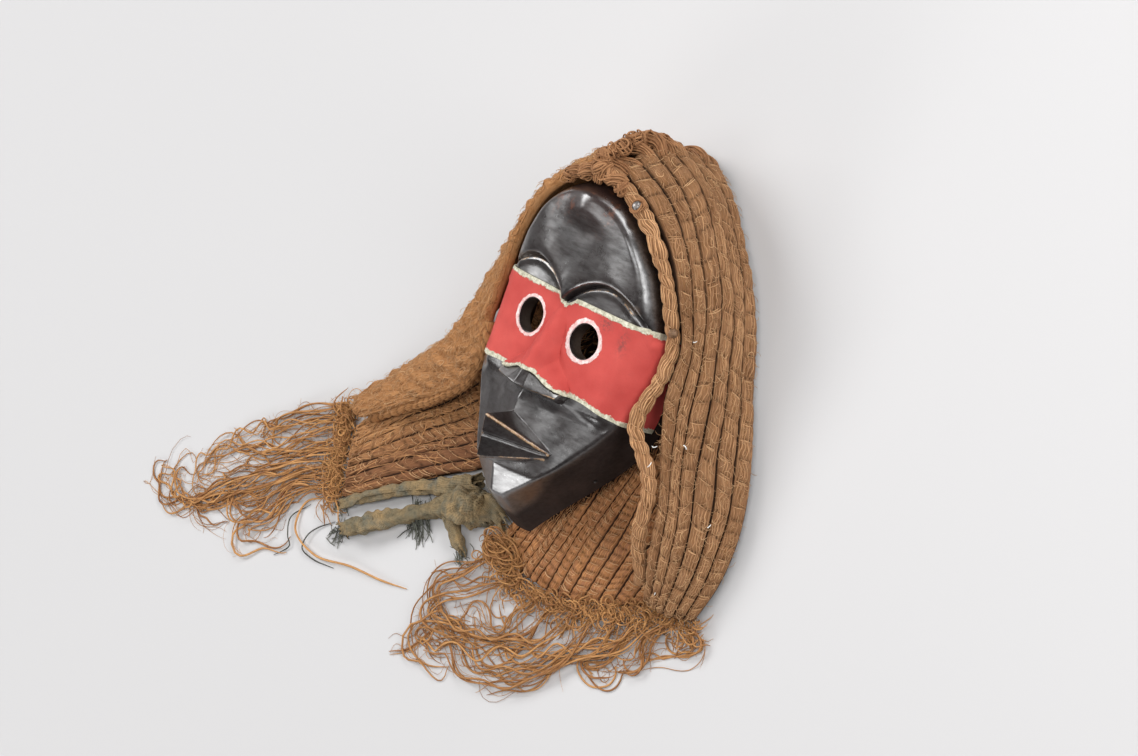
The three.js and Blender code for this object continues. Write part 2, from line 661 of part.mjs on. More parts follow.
// Tacks that hold the front edge of the hood to the wood
function tack(name, look, [x, y, z], [nx, ny, nz]) {
  const dome = new THREE.SphereGeometry(TACK_RADIUS, 8, 3, 0, 2 * Math.PI, 0, Math.PI / 2);
  const base = new THREE.CircleGeometry(TACK_RADIUS, 8);
  base.rotateX(Math.PI / 2);
  const solid = hull([...vertices(dome), ...vertices(base)]);
  const mesh = add(name, toGeometry(solid), look);
  const outward = new THREE.Vector3(nx, ny, nz).normalize();
  mesh.quaternion.setFromUnitVectors(new THREE.Vector3(0, 1, 0), outward);
  mesh.position.set(x, y, z);
}

function vertices(geometry) {
  const p = geometry.attributes.position;
  return Array.from({ length: p.count }, (_, i) => [p.getX(i), p.getY(i), p.getZ(i)]);
}
tack('steel_tack', STEEL, [38.9, 101.4, 97.2], [0.15, 0.3, 1]);
tack('brown_tack', RUSTY, [84.4, 34.4, 65.2], [0.7, 0.1, 0.75]);

export default group;
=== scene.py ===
import bpy
import numpy as np
from mathutils import Matrix, Quaternion, Vector
from mathutils.bvhtree import BVHTree


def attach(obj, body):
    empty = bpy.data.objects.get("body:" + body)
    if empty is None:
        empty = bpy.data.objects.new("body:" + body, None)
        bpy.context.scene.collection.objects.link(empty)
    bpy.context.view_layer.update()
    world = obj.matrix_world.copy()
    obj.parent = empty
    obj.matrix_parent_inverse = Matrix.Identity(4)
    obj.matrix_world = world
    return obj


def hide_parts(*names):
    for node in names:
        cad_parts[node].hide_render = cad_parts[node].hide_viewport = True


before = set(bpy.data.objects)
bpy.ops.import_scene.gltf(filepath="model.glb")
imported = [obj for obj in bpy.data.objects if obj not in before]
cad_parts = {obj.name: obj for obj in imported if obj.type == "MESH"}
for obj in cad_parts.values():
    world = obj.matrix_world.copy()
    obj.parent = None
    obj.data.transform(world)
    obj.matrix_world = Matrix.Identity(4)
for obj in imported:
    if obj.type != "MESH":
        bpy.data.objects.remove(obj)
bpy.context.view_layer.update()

# Sizes are in millimetres of the real mask and become metres when a mesh is made.
MM = 0.001
PI = np.pi

# The mask lies tilted on its hood.
TILT = np.radians(6)
LIE_Y = -4.7
LIE_Z = 27.6

# Outline of the mask.
HALF_WIDTH = 80
WIDEST_Y = 15
TOP_Y = 128
CHIN_Y = -133
CHIN_LENGTH = 23
ROUNDNESS = 2.2
JAW_HALF_WIDTH = 22
JAW_Y = -115
JAW_TAPER = 0.7
CENTRE_Y = -5
WALL = 9.45
CHIN_RIM_LIFT = 9
CHIN_SHIFT = -7

# Heights of the carving over the rim plane.
EYE_PLANE = 49
FOREHEAD_LOW = 57
FOREHEAD_RISE = 8
FOREHEAD_ROUNDING = 56
FACE_ROUNDING = 8
BOSS_X = 1
BOSS_WIDTH = 15
BOSS_HEIGHT = 4.6
MUZZLE_HEIGHT = 63
EYE_X = 27
EYE_Y = 14
EYE_RADIUS = 12
ARCH_FOOT_Y = 33
ARCH_RISE = 22
ARCH_SPAN = 70
MOUTH_SLIT_Y = -66
BAND_TOP = 38.5
BAND_BOTTOM = -25

# Round holes in the mask: the eyes are drilled right through, the lashing holes sideways.
EYE_HOLE_LENGTH = 120
EYE_HOLE_MIDDLE = 50
LASHING_HOLES = (-57, -93, -123, 22, 158)
LASHING_RADIUS = 2
LASHING_LENGTH = 34
LASHING_INSET = 5
LASHING_LIFT = 10

# Thickness of the cords, of the strip of cloth and of the band's cloth, and size of a tack.
CORD = 9.5
CLOTH = 0.7
BAND_CLOTH = 1.0
TACK_RADIUS = 3.1

# The table is far wider than the picture. Its size is in metres.
TABLE_SIZE = 14


# ---- Camera, floor and light ----

LENS = 75
SENSOR_WIDTH = 36

# Lights: direction, distance and size in metres, power in watts, and roll in degrees.
LIGHTS = {
    "main_softbox": ((-0.7, 0.2, 0.68), 3.4, (1.6, 1.6), 62, 0),
    "brow_softbox": ((-0.78, -0.1, 0.62), 2.2, (0.4, 0.4), 4.5, 0),
    "overhead_softbox": ((0.42, 0.1, 0.9), 2.4, (0.5, 1.5), 19, 0),
    "cheek_softbox": ((-0.22, -0.28, 0.93), 2.4, (0.9, 0.9), 7, 0),
    "edge_softbox": ((0.84, 0.3, 0.44), 2.2, (0.5, 1.5), 24, -48),
    "back_softbox": ((0.2, 0.83, 0.55), 2.0, (1.0, 0.6), 15, 0),
    "chin_softbox": ((-0.24, -0.9, 0.37), 2.2, (1.0, 0.7), 15, 0),
}
WALL_COLOUR = (0.97, 0.975, 1.0, 1)
WALL_STRENGTH = 0.11


def photo_camera():
    """The camera, where the photograph was taken from."""
    data = bpy.data.cameras.new("photo_camera")
    data.lens = LENS
    data.sensor_width = SENSOR_WIDTH
    camera = bpy.data.objects.new("photo_camera", data)
    bpy.context.scene.collection.objects.link(camera)
    right = (0.665312, 0.397227, -0.632116)
    up = (-0.351757, 0.913616, 0.203894)
    back = (0.658504, 0.086698, 0.747567)
    place = (1.07209, 0.11526, 1.26366)
    rows = [[right[i], up[i], back[i], place[i]] for i in range(3)]
    camera.matrix_world = Matrix(rows + [[0, 0, 0, 1]])
    bpy.context.scene.camera = camera


def soft_box(name, direction, distance, size, power, roll):
    """A rectangular light that faces the mask."""
    data = bpy.data.lights.new(name, "AREA")
    data.shape = "RECTANGLE"
    data.size, data.size_y = size
    data.energy = power
    lamp = bpy.data.objects.new(name, data)
    bpy.context.scene.collection.objects.link(lamp)
    direction = Vector(direction).normalized()
    lamp.location = direction * distance
    turned = Quaternion((0, 0, 1), np.radians(roll))
    lamp.rotation_euler = (direction.to_track_quat("Z", "Y") @ turned).to_euler()


def studio():
    """The main light and a small one on the left, two overhead, a strip on the right for the
    brow's edge, one behind the top of the mask, one before its chin, and pale walls."""
    for name, settings in LIGHTS.items():
        soft_box(name, *settings)
    world = bpy.data.worlds.new("studio_walls")
    bpy.context.scene.world = world
    world.use_nodes = True
    walls = world.node_tree.nodes["Background"]
    walls.inputs["Color"].default_value = WALL_COLOUR
    walls.inputs["Strength"].default_value = WALL_STRENGTH
    bpy.context.scene.view_settings.view_transform = "Standard"


# ---- Materials ----

class Finish:
    """A material and the nodes that make it."""

    def __init__(self, name, roughness=0.8, specular=0.5):
        self.material = bpy.data.materials.new(name)
        self.material.use_nodes = True
        self.tree = self.material.node_tree
        self.shader = self.tree.nodes["Principled BSDF"]
        self.shader.inputs["Roughness"].default_value = roughness
        self.shader.inputs["Specular IOR Level"].default_value = specular

    def node(self, kind, sockets=None, output=0, **settings):
        """A new node with its settings made and its sockets filled."""
        node = self.tree.nodes.new(kind)
        for name, value in settings.items():
            setattr(node, name, value)
        for name, value in (sockets or {}).items():
            self.feed(node.inputs[name], value)
        return node.outputs[output]

    def feed(self, socket, value):
        """Links a socket to another one, or sets its value."""
        if isinstance(value, bpy.types.NodeSocket):
            self.tree.links.new(value, socket)
        elif isinstance(value, tuple) and len(value) == 3 and socket.type == "RGBA":
            socket.default_value = (*value, 1)
        else:
            socket.default_value = value

    def set(self, **sockets):
        """Fills sockets of the material's shader."""
        for name, value in sockets.items():
            self.feed(self.shader.inputs[name.replace("_", " ")], value)

    def place(self, stretch=(1, 1, 1), turn=(0, 0, 0)):
        """Object coordinates in millimetres, stretched or turned."""
        where = self.node("ShaderNodeTexCoord", output=3)
        scale = tuple(part / MM for part in stretch)
        return self.node("ShaderNodeMapping", {"Vector": where, "Scale": scale, "Rotation": turn})

    def thread(self, across=1, along=1):
        """The piece's own UV map, which counts cords across and millimetres along, stretched."""
        where = self.node("ShaderNodeUVMap", uv_map="run")
        return self.node("ShaderNodeMapping", {"Vector": where, "Scale": (across, along, 1)})

    def mark(self, name):
        """A value painted on the piece's own points."""
        return self.node("ShaderNodeAttribute", output=2, attribute_name=name)

    def noise(self, where, scale=1, detail=3, rough=0.5, twist=0):
        """Cloudy unevenness."""
        sockets = {"Vector": where, "Scale": scale, "Detail": detail, "Roughness": rough, "Distortion": twist}
        return self.node("ShaderNodeTexNoise", sockets)

    def weave(self, where, **sockets):
        """Threads that cross each other."""
        sockets["Vector"] = where
        warp = self.node("ShaderNodeTexWave", sockets, output=1)
        weft = self.node("ShaderNodeTexWave", sockets, output=1, bands_direction="Y")
        return self.math("MAXIMUM", warp, weft)

    def math(self, kind, a, b):
        """Arithmetic on two values."""
        return self.node("ShaderNodeMath", {0: a, 1: b}, operation=kind)

    def times(self, a, b):
        """Product of two values."""
        return self.math("MULTIPLY", a, b)

    def plus(self, a, b):
        """Sum of two values."""
        return self.math("ADD", a, b)

    def between(self, value, low, high, start=0.0, end=1.0):
        """The value taken from low..high to start..end, and held at both ends."""
        sockets = {"Value": value, "From Min": low, "From Max": high, "To Min": start, "To Max": end}
        return self.node("ShaderNodeMapRange", sockets)

    def blend(self, share, a, b):
        """Colour a, with a share of colour b."""
        return self.node("ShaderNodeMix", {0: share, 6: a, 7: b}, output=2, data_type="RGBA")

    def bump(self, height, depth, strength=1.0, under=None):
        """Bump with its depth in millimetres."""
        sockets = {"Height": height, "Distance": depth * MM, "Strength": strength}
        if under is not None:
            sockets["Normal"] = under
        return self.node("ShaderNodeBump", sockets)


def black_wood():
    """Near-black oiled wood, worn to bare brown along its sharp edges."""
    look = Finish("black_wood")
    face = look.place()
    along = look.place((1, 0.16, 1))
    broad = look.noise(face, 0.022, 4, 0.6)
    grain = look.noise(along, 0.55, 5, 0.65, 0.4)
    speck = look.noise(face, 0.5, 3, 0.7)
    colour = look.blend(look.between(broad, 0.35, 0.7), (0.011, 0.008, 0.0075), (0.027, 0.018, 0.016))
    rub = look.mark("rub")
    colour = look.blend(look.times(rub, 0.5), colour, (0.035, 0.014, 0.011))
    patch = look.between(look.noise(face, 0.11, 5, 0.7), 0.56, 0.68, 0, 0.8)
    colour = look.blend(look.times(rub, patch), colour, (0.17, 0.052, 0.02))
    fleck = look.times(look.between(speck, 0.66, 0.74), rub)
    colour = look.blend(fleck, colour, (0.26, 0.12, 0.05))
    wobble = look.noise(face, 0.22, 3, 0.6)
    reach = look.between(wobble, 0.3, 0.75, 0.25, 1.15)
    near = look.math("SUBTRACT", reach, look.mark("from_worn_edge"))
    bare = look.between(near, 0.0, 0.35)
    bare_wood = look.blend(look.between(grain, 0.4, 0.6), (0.24, 0.12, 0.05), (0.5, 0.33, 0.18))
    colour = look.blend(bare, colour, bare_wood)
    hollow = look.mark("inside")
    colour = look.blend(hollow, colour, (0.05, 0.03, 0.018))
    look.set(Base_Color=colour)
    rough = look.between(look.noise(face, 0.06, 6, 0.65), 0.3, 0.7, 0.24, 0.4)
    rough = look.plus(rough, look.between(grain, 0.35, 0.7, -0.03, 0.07))
    dull = look.mark("dull")
    rough = look.plus(rough, look.times(look.math("MAXIMUM", hollow, dull), 0.4))
    look.set(Roughness=rough)
    strokes = look.noise(look.place((0.28, 1, 1), (0, 0, 0.5)), 0.32, 6, 0.7)
    polish = look.between(look.plus(strokes, look.times(broad, 0.5)), 0.58, 0.88, 0.42, 1)
    polish = look.times(polish, look.between(dull, 0, 1, 1, 0.15))
    look.set(Specular_IOR_Level=polish, Coat_Weight=polish, Coat_Roughness=0.23, Coat_IOR=1.75)
    soft = look.bump(look.noise(face, 0.12, 3, 0.5), 0.1, 0.6)
    fine = look.bump(grain, 0.07, 0.6, soft)
    look.set(Normal=fine)
    return look.material


def red_cotton():
    """Soft red cotton, with pale paint along its borders and around the eyes."""
    look = Finish("red_cotton", roughness=0.82, specular=0.25)
    face = look.place()
    broad = look.noise(face, 0.035, 4, 0.6)
    colour = look.blend(look.between(broad, 0.35, 0.7), (0.46, 0.056, 0.048), (0.59, 0.09, 0.075))
    dust = look.noise(face, 0.28, 5, 0.75)
    colour = look.blend(look.between(dust, 0.52, 0.8, 0, 0.35), colour, (0.32, 0.05, 0.045))
    # Dark scuffs on the band's right side, made darker as painted shade for that dimmer side.
    scuff_and_shade = look.times(look.mark("scuff_and_shade"), look.between(look.noise(face, 0.45, 4, 0.7), 0.42, 0.6))
    colour = look.blend(scuff_and_shade, colour, (0.14, 0.06, 0.055))
    wobble = look.noise(face, 0.16, 3, 0.65)
    fray = look.noise(face, 0.9, 2, 0.6)
    edge = look.plus(look.mark("from_border"), look.between(wobble, 0.2, 0.8, -1.6, 1.6))
    edge = look.plus(edge, look.between(fray, 0.2, 0.8, -0.5, 0.5))
    border = look.between(edge, 3.4, 2.9)
    powder = look.between(look.noise(face, 0.35, 5, 0.7), 0.38, 0.62)
    chalk = look.blend(powder, (0.36, 0.34, 0.24), (0.72, 0.7, 0.56))
    colour = look.blend(border, colour, chalk)
    around = look.plus(look.mark("from_eye"), look.between(fray, 0.2, 0.8, -0.5, 0.5))
    ring = look.between(around, 15.0, 14.5)
    thin = look.between(look.noise(face, 0.3, 5, 0.7), 0.4, 0.62)
    colour = look.blend(ring, colour, look.blend(thin, (0.7, 0.42, 0.4), (0.86, 0.74, 0.71)))
    look.set(Base_Color=colour)
    weave = look.bump(look.weave(face, Scale=0.42, Distortion=0.6, Detail=1.0), 0.09, 0.6)
    painted = look.bump(look.math("MAXIMUM", border, ring), 0.35, 0.8, weave)
    look.set(Normal=look.bump(look.noise(face, 0.14, 4, 0.55), 0.5, 0.5, painted))
    return look.material


def cord_fibre(name, pale, deep, grey):
    """Wrapped cords: fine fibres along each cord, dusty on top, with painted shade in the joints."""
    look = Finish(name, roughness=0.92, specular=0.15)
    face = look.place()
    tone = look.noise(look.thread(0.9, 0.035), 1, 3, 0.6)
    fibres = look.noise(look.thread(9, 0.09), 1, 4, 0.65, 0.6)
    hairs = look.noise(look.thread(26, 0.22), 1, 3, 0.7, 0.8)
    colour = look.blend(look.between(tone, 0.33, 0.68), deep, pale)
    colour = look.blend(look.between(fibres, 0.42, 0.66, 0, 0.75), colour, grey)
    dark = tuple(c * 0.42 for c in deep)
    colour = look.blend(look.between(fibres, 0.44, 0.3, 0, 0.7), colour, dark)
    light = tuple(min(1.0, c * 1.55) for c in pale)
    colour = look.blend(look.between(hairs, 0.56, 0.74, 0, 0.75), colour, light)
    dust = look.noise(face, 0.05, 4, 0.6)
    colour = look.blend(look.between(dust, 0.5, 0.75, 0, 0.4), colour, grey)
    # Darker towards the last cords of a mat, by the amount painted on its points.
    colour = look.blend(look.times(look.mark("far_darkening"), 0.7), colour, (0.13, 0.05, 0.028))
    # Painted shade: the mark darkens the grooves between cords, the wrappings, the undersides and the cords
    # under the mask.
    shade = look.mark("painted_shade")
    colour = look.blend(look.between(shade, 0.18, 0.7, 0, 0.95), colour, (0.014, 0.007, 0.004))
    look.set(Base_Color=colour)
    lengthwise = look.bump(fibres, 0.7, 0.9)
    matted = look.bump(look.noise(face, 0.75, 4, 0.7), 0.5, 0.7, lengthwise)
    look.set(Normal=look.bump(hairs, 0.35, 0.8, matted))
    return look.material


def thread_fibre(name, pale, deep):
    """Loose threads and fibres; each one has its own tone."""
    look = Finish(name, roughness=0.75, specular=0.25)
    tone = look.mark("tone")
    along = look.noise(look.thread(2, 0.12), 1, 3, 0.6)
    share = look.plus(look.times(tone, 0.6), look.between(along, 0.3, 0.7, -0.1, 0.5))
    colour = look.blend(look.between(share, 0, 1), deep, pale)
    colour = look.blend(look.between(tone, 1.5, 1.6), colour, (0.85, 0.85, 0.82))
    look.set(Base_Color=colour)
    look.set(Normal=look.bump(look.noise(look.thread(5, 0.6), 1, 2, 0.6), 0.3, 0.8))
    return look.material


def old_cotton():
    """Worn strip of cotton, blue-green with ochre where it is faded."""
    look = Finish("old_cotton", roughness=0.95, specular=0.1)
    face = look.place()
    broad = look.noise(face, 0.045, 4, 0.62, 0.3)
    colour = look.blend(look.between(broad, 0.3, 0.7), (0.2, 0.175, 0.115), (0.42, 0.285, 0.14))
    blue = look.noise(face, 0.06, 3, 0.6)
    colour = look.blend(look.between(blue, 0.45, 0.75, 0, 0.7), colour, (0.12, 0.165, 0.16))
    dirt = look.noise(face, 0.3, 5, 0.7)
    colour = look.blend(look.between(dirt, 0.5, 0.72, 0, 0.6), colour, (0.045, 0.042, 0.03))
    cross = look.weave(look.thread(), Scale=0.26, Distortion=1.0)
    colour = look.blend(look.between(cross, 0.2, 0.7, 0.35, 0), colour, (0.03, 0.035, 0.03))
    look.set(Base_Color=colour)
    woven = look.bump(cross, 0.5, 0.9)
    crumple = look.bump(look.noise(face, 0.08, 4, 0.55, 0.5), 5, 0.8, woven)
    look.set(Normal=look.bump(look.noise(face, 0.25, 4, 0.6), 1.0, 0.7, crumple))
    return look.material


def tack_metal(name, colour, dull, metal):
    """Metal of a tack's head, spotted with rust."""
    look = Finish(name, specular=0.5)
    face = look.place()
    spots = look.noise(face, 1.1, 4, 0.65)
    look.set(Base_Color=look.blend(look.between(spots, 0.45, 0.65), colour, dull))
    look.set(Roughness=look.between(spots, 0.3, 0.7, 0.3, 0.6), Metallic=metal)
    look.set(Normal=look.bump(spots, 0.15, 0.6))
    return look.material


def pale_floor():
    """Even, matt studio table."""
    look = Finish("pale_floor", roughness=0.9, specular=0.2)
    look.set(Base_Color=(0.58, 0.573, 0.575))
    return look.material


# ---- Helpers for shapes ----

def soft_min(a, b, blend):
    """The smaller value, with the corner between both rounded off."""
    h = np.maximum(blend - np.abs(a - b), 0) / blend
    return np.minimum(a, b) - h * h * blend / 4


def soft_max(a, b, blend):
    """The larger value, with the corner between both rounded off."""
    return -soft_min(-a, -b, blend)


def smooth_step(low, high, value):
    """From 0 at low to 1 at high, without a corner at either end."""
    t = np.clip((value - low) / (high - low), 0, 1)
    return t * t * (3 - 2 * t)


def bell(x):
    """1 at 0, falling off smoothly on both sides."""
    return np.exp(-(x**2))


def unit(vectors):
    """Vectors of length 1. One without a length stays as it is."""
    return vectors / np.maximum(np.linalg.norm(vectors, axis=-1, keepdims=True), 1e-9)


def walk(line):
    """Distance along a line at each of its points."""
    return np.concatenate([[0], np.cumsum(np.linalg.norm(np.diff(line, axis=0), axis=1))])


def spline(points, t):
    """Points on a smooth curve through given points, at shares of its spans. Each share may
    have its own set of points."""
    points = np.asarray(points, float)
    t = np.asarray(t, float)
    if points.ndim == 2:
        points = np.broadcast_to(points, (len(t), *points.shape))
    first = 2 * points[:, :1] - points[:, 1:2]
    last = 2 * points[:, -1:] - points[:, -2:-1]
    points = np.concatenate([first, points, last], axis=1)
    spans = points.shape[1] - 3
    place = np.clip(t, 0, 1) * spans
    i = np.clip(np.floor(place).astype(int), 0, spans - 1)
    w = (place - i)[:, None]
    rows = np.arange(len(t))
    p0, p1, p2, p3 = (points[rows, i + k] for k in range(4))
    d0 = np.sqrt(np.linalg.norm(p1 - p0, axis=1))[:, None]
    d1 = np.sqrt(np.linalg.norm(p2 - p1, axis=1))[:, None]
    d2 = np.sqrt(np.linalg.norm(p3 - p2, axis=1))[:, None]
    t1 = ((p1 - p0) / d0 - (p2 - p0) / (d0 + d1) + (p2 - p1) / d1) * d1
    t2 = ((p2 - p1) / d1 - (p3 - p1) / (d1 + d2) + (p3 - p2) / d2) * d1
    c2 = -3 * p1 + 3 * p2 - 2 * t1 - t2
    c3 = 2 * p1 - 2 * p2 + t1 + t2
    return p1 + t1 * w + c2 * w**2 + c3 * w**3


def drift(rng, series, places, spacing):
    """Slow random values along a length, one row for each series."""
    places = np.asarray(places, float)
    knots = rng.normal(size=(series, int(places.max() / spacing) + 3))
    i = np.floor(places / spacing).astype(int)
    w = places / spacing - i
    w = w * w * (3 - 2 * w)
    return knots[:, i] * (1 - w) + knots[:, i + 1] * w


def ripples(seed, x, y, wavelength):
    """Smooth unevenness over a plane, about -1 to 1."""
    rng = np.random.default_rng(seed)
    total = np.zeros_like(x)
    for _ in range(7):
        angle = rng.uniform(0, 2 * PI)
        size = 2 * PI / (wavelength * rng.uniform(0.7, 1.6))
        total += np.sin(size * (x * np.cos(angle) + y * np.sin(angle)) + rng.uniform(0, 2 * PI))
    return total / 3


def lie(x, y, z):
    """Points of the mask's own frame, in its place on the hood."""
    up = np.cos(TILT)
    over = np.sin(TILT)
    return np.stack([x, y * up - z * over + LIE_Y, y * over + z * up + LIE_Z], axis=-1)


def mesh_points(piece):
    """The piece's points, one in each row."""
    co = np.empty(len(piece.data.vertices) * 3)
    piece.data.vertices.foreach_get("co", co)
    return co.reshape(-1, 3)


def move_points(piece, points):
    """Puts the piece's points in new places."""
    piece.data.vertices.foreach_set("co", np.ascontiguousarray(points, float).ravel())
    piece.data.update()


def paint(piece, name, values):
    """Gives each point a value that the materials read."""
    mark = piece.data.attributes.new(name, "FLOAT", "POINT")
    mark.data.foreach_set("value", np.ascontiguousarray(values, np.float32))


def deselect():
    """Leaves edit mode with nothing selected."""
    if bpy.context.object and bpy.context.object.mode != "OBJECT":
        bpy.ops.object.mode_set(mode="OBJECT")
    bpy.ops.object.select_all(action="DESELECT")


def only(piece):
    """Selects one piece."""
    deselect()
    piece.select_set(True)
    bpy.context.view_layer.objects.active = piece


def new_piece(name, points, faces, finish):
    """Mesh from points in millimetres. Faces are rows of point numbers, or lists of unequal length."""
    mesh = bpy.data.meshes.new(name)
    mesh.from_pydata((np.asarray(points) * MM).tolist(), [], [list(f) for f in faces])
    mesh.polygons.foreach_set("use_smooth", np.ones(len(mesh.polygons), bool))
    mesh.update()
    piece = bpy.data.objects.new(name, mesh)
    bpy.context.scene.collection.objects.link(piece)
    mesh.materials.append(finish)
    return piece


def apply_all(piece):
    """Makes the modifiers part of the mesh."""
    only(piece)
    for modifier in list(piece.modifiers):
        bpy.ops.object.modifier_apply(modifier=modifier.name)


def thicken(piece, thickness, offset):
    """Gives a sheet its thickness in millimetres."""
    tool = piece.modifiers.new("thickness", "SOLIDIFY")
    tool.thickness = thickness * MM
    tool.offset = offset
    apply_all(piece)


def face_outwards(piece):
    """Turns all faces so that they look out of the piece."""
    only(piece)
    bpy.ops.object.mode_set(mode="EDIT")
    bpy.ops.mesh.select_all(action="SELECT")
    bpy.ops.mesh.normals_make_consistent(inside=False)
    bpy.ops.object.mode_set(mode="OBJECT")


def surface_with(piece, finish, degrees):
    """Rounds the shading up to an edge angle, and gives the piece its one material."""
    only(piece)
    bpy.ops.object.shade_smooth_by_angle(angle=np.radians(degrees))
    piece.data.materials.clear()
    piece.data.materials.append(finish)


def fit_on(piece, slot, *nodes):
    """Puts the piece on the row's one body and hides the imported parts of the nodes that it stands for; slot
    is not used.
    """
    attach(piece, "root")
    if nodes:
        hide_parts(*nodes)
    return piece


# ---- The carved mask ----

def half_width(y):
    """Half the width of the mask at each y."""
    rise = np.clip((y - WIDEST_Y) / (TOP_Y - WIDEST_Y), 0, 1)
    upper = HALF_WIDTH * np.sqrt(np.clip(1 - rise**ROUNDNESS, 0, 1))
    t = np.clip((WIDEST_Y - y) / (WIDEST_Y - CHIN_Y + 2), 0, 1)
    temple = HALF_WIDTH * np.sqrt(1 - t**ROUNDNESS)
    side = soft_min(temple, JAW_HALF_WIDTH + JAW_TAPER * (y - JAW_Y), 12)
    c = np.clip((CHIN_Y + CHIN_LENGTH - y) / CHIN_LENGTH, 0, 1)
    chin = 1.25 * JAW_HALF_WIDTH * np.sqrt(1 - c**2.6)
    lower = np.where(y < CHIN_Y + CHIN_LENGTH, np.minimum(side, chin), side)
    return np.where(y > WIDEST_Y, upper, lower)


OUTLINE_STEPS = 1440


def outline_table():
    """Radius of the outline around the mask's centre, at many angles."""
    angle = np.arange(OUTLINE_STEPS) * 2 * PI / OUTLINE_STEPS
    low, high = np.zeros(OUTLINE_STEPS), np.full(OUTLINE_STEPS, 140.0)
    for _ in range(30):
        middle = (low + high) / 2
        y = CENTRE_Y + middle * np.sin(angle)
        inside = (y < TOP_Y) & (y > CHIN_Y) & (np.abs(middle * np.cos(angle)) < half_width(y))
        low = np.where(inside, middle, low)
        high = np.where(inside, high, middle)
    return angle, low


OUTLINE_ANGLE, OUTLINE_RADIUS = outline_table()


def outline_radius(angle):
    """Radius of the outline at any angle."""
    return np.interp(angle, OUTLINE_ANGLE, OUTLINE_RADIUS, period=2 * PI)


def from_centre(x, y):
    """Distance from the mask's centre, and the outline's radius in that direction."""
    y = y - CENTRE_Y
    return np.hypot(x, y), outline_radius(np.arctan2(y, x))


def rim_height(y):
    """Height of the rim, which lifts towards the chin."""
    return CHIN_RIM_LIFT * smooth_step(50, -CHIN_Y, -y)


def chin_lean(y):
    """Shift to the left, which grows towards the chin."""
    return CHIN_SHIFT * smooth_step(60, -CHIN_Y, -y)


def wall_slope(y):
    """Steepness of the side walls."""
    return 5.2 - 3.4 * smooth_step(72, 112, -y)


def arch_y(x):
    """The line of the brows."""
    reach = np.minimum(np.abs(x), ARCH_SPAN) / ARCH_SPAN
    return ARCH_FOOT_Y + ARCH_RISE * np.clip(np.sin(PI * reach), 0, 1) ** 0.7


def lower_front(x, y):
    """The eye plane and the muzzle below the brows."""
    ax = np.abs(x)
    eye = soft_min(EYE_PLANE - 4 * (x / 58) ** 2, 99.5 - 0.94 * ax, 3)
    eye = eye - 0.6 * np.maximum(0, BAND_BOTTOM - 5 - y)
    muzzle = MUZZLE_HEIGHT - 0.36 * ax - 0.35 * np.maximum(0, y + 38) - 0.5 * np.maximum(0, -86 - y)
    return soft_max(eye, muzzle, 5)


def forehead_front(x, y):
    """A flat brow that rises slowly, with a boss near its top."""
    boss = bell((x - BOSS_X) / BOSS_WIDTH) * smooth_step(82, 99, y)
    dome = FOREHEAD_LOW + (FOREHEAD_RISE - BOSS_HEIGHT) * smooth_step(40, 100, y) + BOSS_HEIGHT * boss
    return dome - 13 * (np.abs(x) / 63) ** 3.2


def both_sides(points):
    """The points, each with its mirror image."""
    found = []
    for x, y, z in points:
        found += [(x, y, z), (-x, y, z)] if x else [(x, y, z)]
    return found


NOSE_WINGS = [(0, -6, 60), (0, -28, 73), (8, -27.5, 71.5), (29, -28, 60), (30, -23, 55),
              (0, -31, 66), (28, -31, 55), (14, -6, 47), (0, 0, 40)]
NOSE_BRIDGE = [(0, 31, 48.5), (5, 28, 47), (0, -25, 71.5), (10, -20, 62), (11, 0, 45), (0, 0, 40)]
MOUTH = [(0, -52, 88), (0, -66, 85.5), (0, -83, 81), (34, -65, 52), (32, -69, 52),
         (0, -47, 60), (0, -86, 55), (34, -63, 46), (28, -75, 46), (0, -50, 45)]


def wedge(points):
    """Solid wrapped tightly around carved corner points, as a tree that rays can be sent at."""
    mesh = bpy.data.meshes.new("wedge")
    mesh.from_pydata(both_sides(points), [], [])
    block = bpy.data.objects.new("wedge", mesh)
    bpy.context.scene.collection.objects.link(block)
    only(block)
    bpy.ops.object.mode_set(mode="EDIT")
    bpy.ops.mesh.select_all(action="SELECT")
    bpy.ops.mesh.convex_hull()
    bpy.ops.object.mode_set(mode="OBJECT")
    tree = BVHTree.FromObject(block, bpy.context.evaluated_depsgraph_get())
    bpy.data.objects.remove(block)
    return tree


def top_of(tree, x, y, box):
    """Height of a wedge under each point of the plane, and far below where it isn't."""
    found = np.full(x.shape, -60.0)
    near = (np.abs(x) < box[0]) & (y > box[1]) & (y < box[2])
    down = Vector((0, 0, -1))
    for i in np.flatnonzero(near):
        hit = tree.ray_cast(Vector((x[i], y[i], 120)), down)
        if hit[0] is not None:
            found[i] = hit[0].z
    return found


WEDGES = [
    (wedge(NOSE_WINGS), (31, -32, 1)),
    (wedge(NOSE_BRIDGE), (12, -26, 32)),
    (wedge(MOUTH), (35, -87, -46)),
]


def raw_height(x, y):
    """Height of the carving over the rim plane."""
    reach, radius = from_centre(x, y)
    share = np.clip(reach / radius, 0, 1)
    below = arch_y(x) - y
    eyelid = lower_front(x, y)
    groove = 2.6 * (1 - np.clip(below, 0, 3.4) / 3.4) * (y > 20)
    lid_swell = 1.3 * bell((below - 4.2) / 2.6) * (y > 20)
    brow = forehead_front(x, y) - 2.4 * np.exp(np.minimum(below, 0) / 2.6)
    over = smooth_step(0.35, -0.35, below)
    front = (eyelid - groove + lid_swell) * (1 - over) + brow * over
    wall = wall_slope(y) * radius * (1 - share)
    rim = rim_height(y)
    rounding = FACE_ROUNDING + (FOREHEAD_ROUNDING - FACE_ROUNDING) * over
    height = rim + soft_min(front - rim, wall, rounding)
    for tree, box in WEDGES:
        height = soft_max(height, top_of(tree, x, y, box), 0.9)
    return height


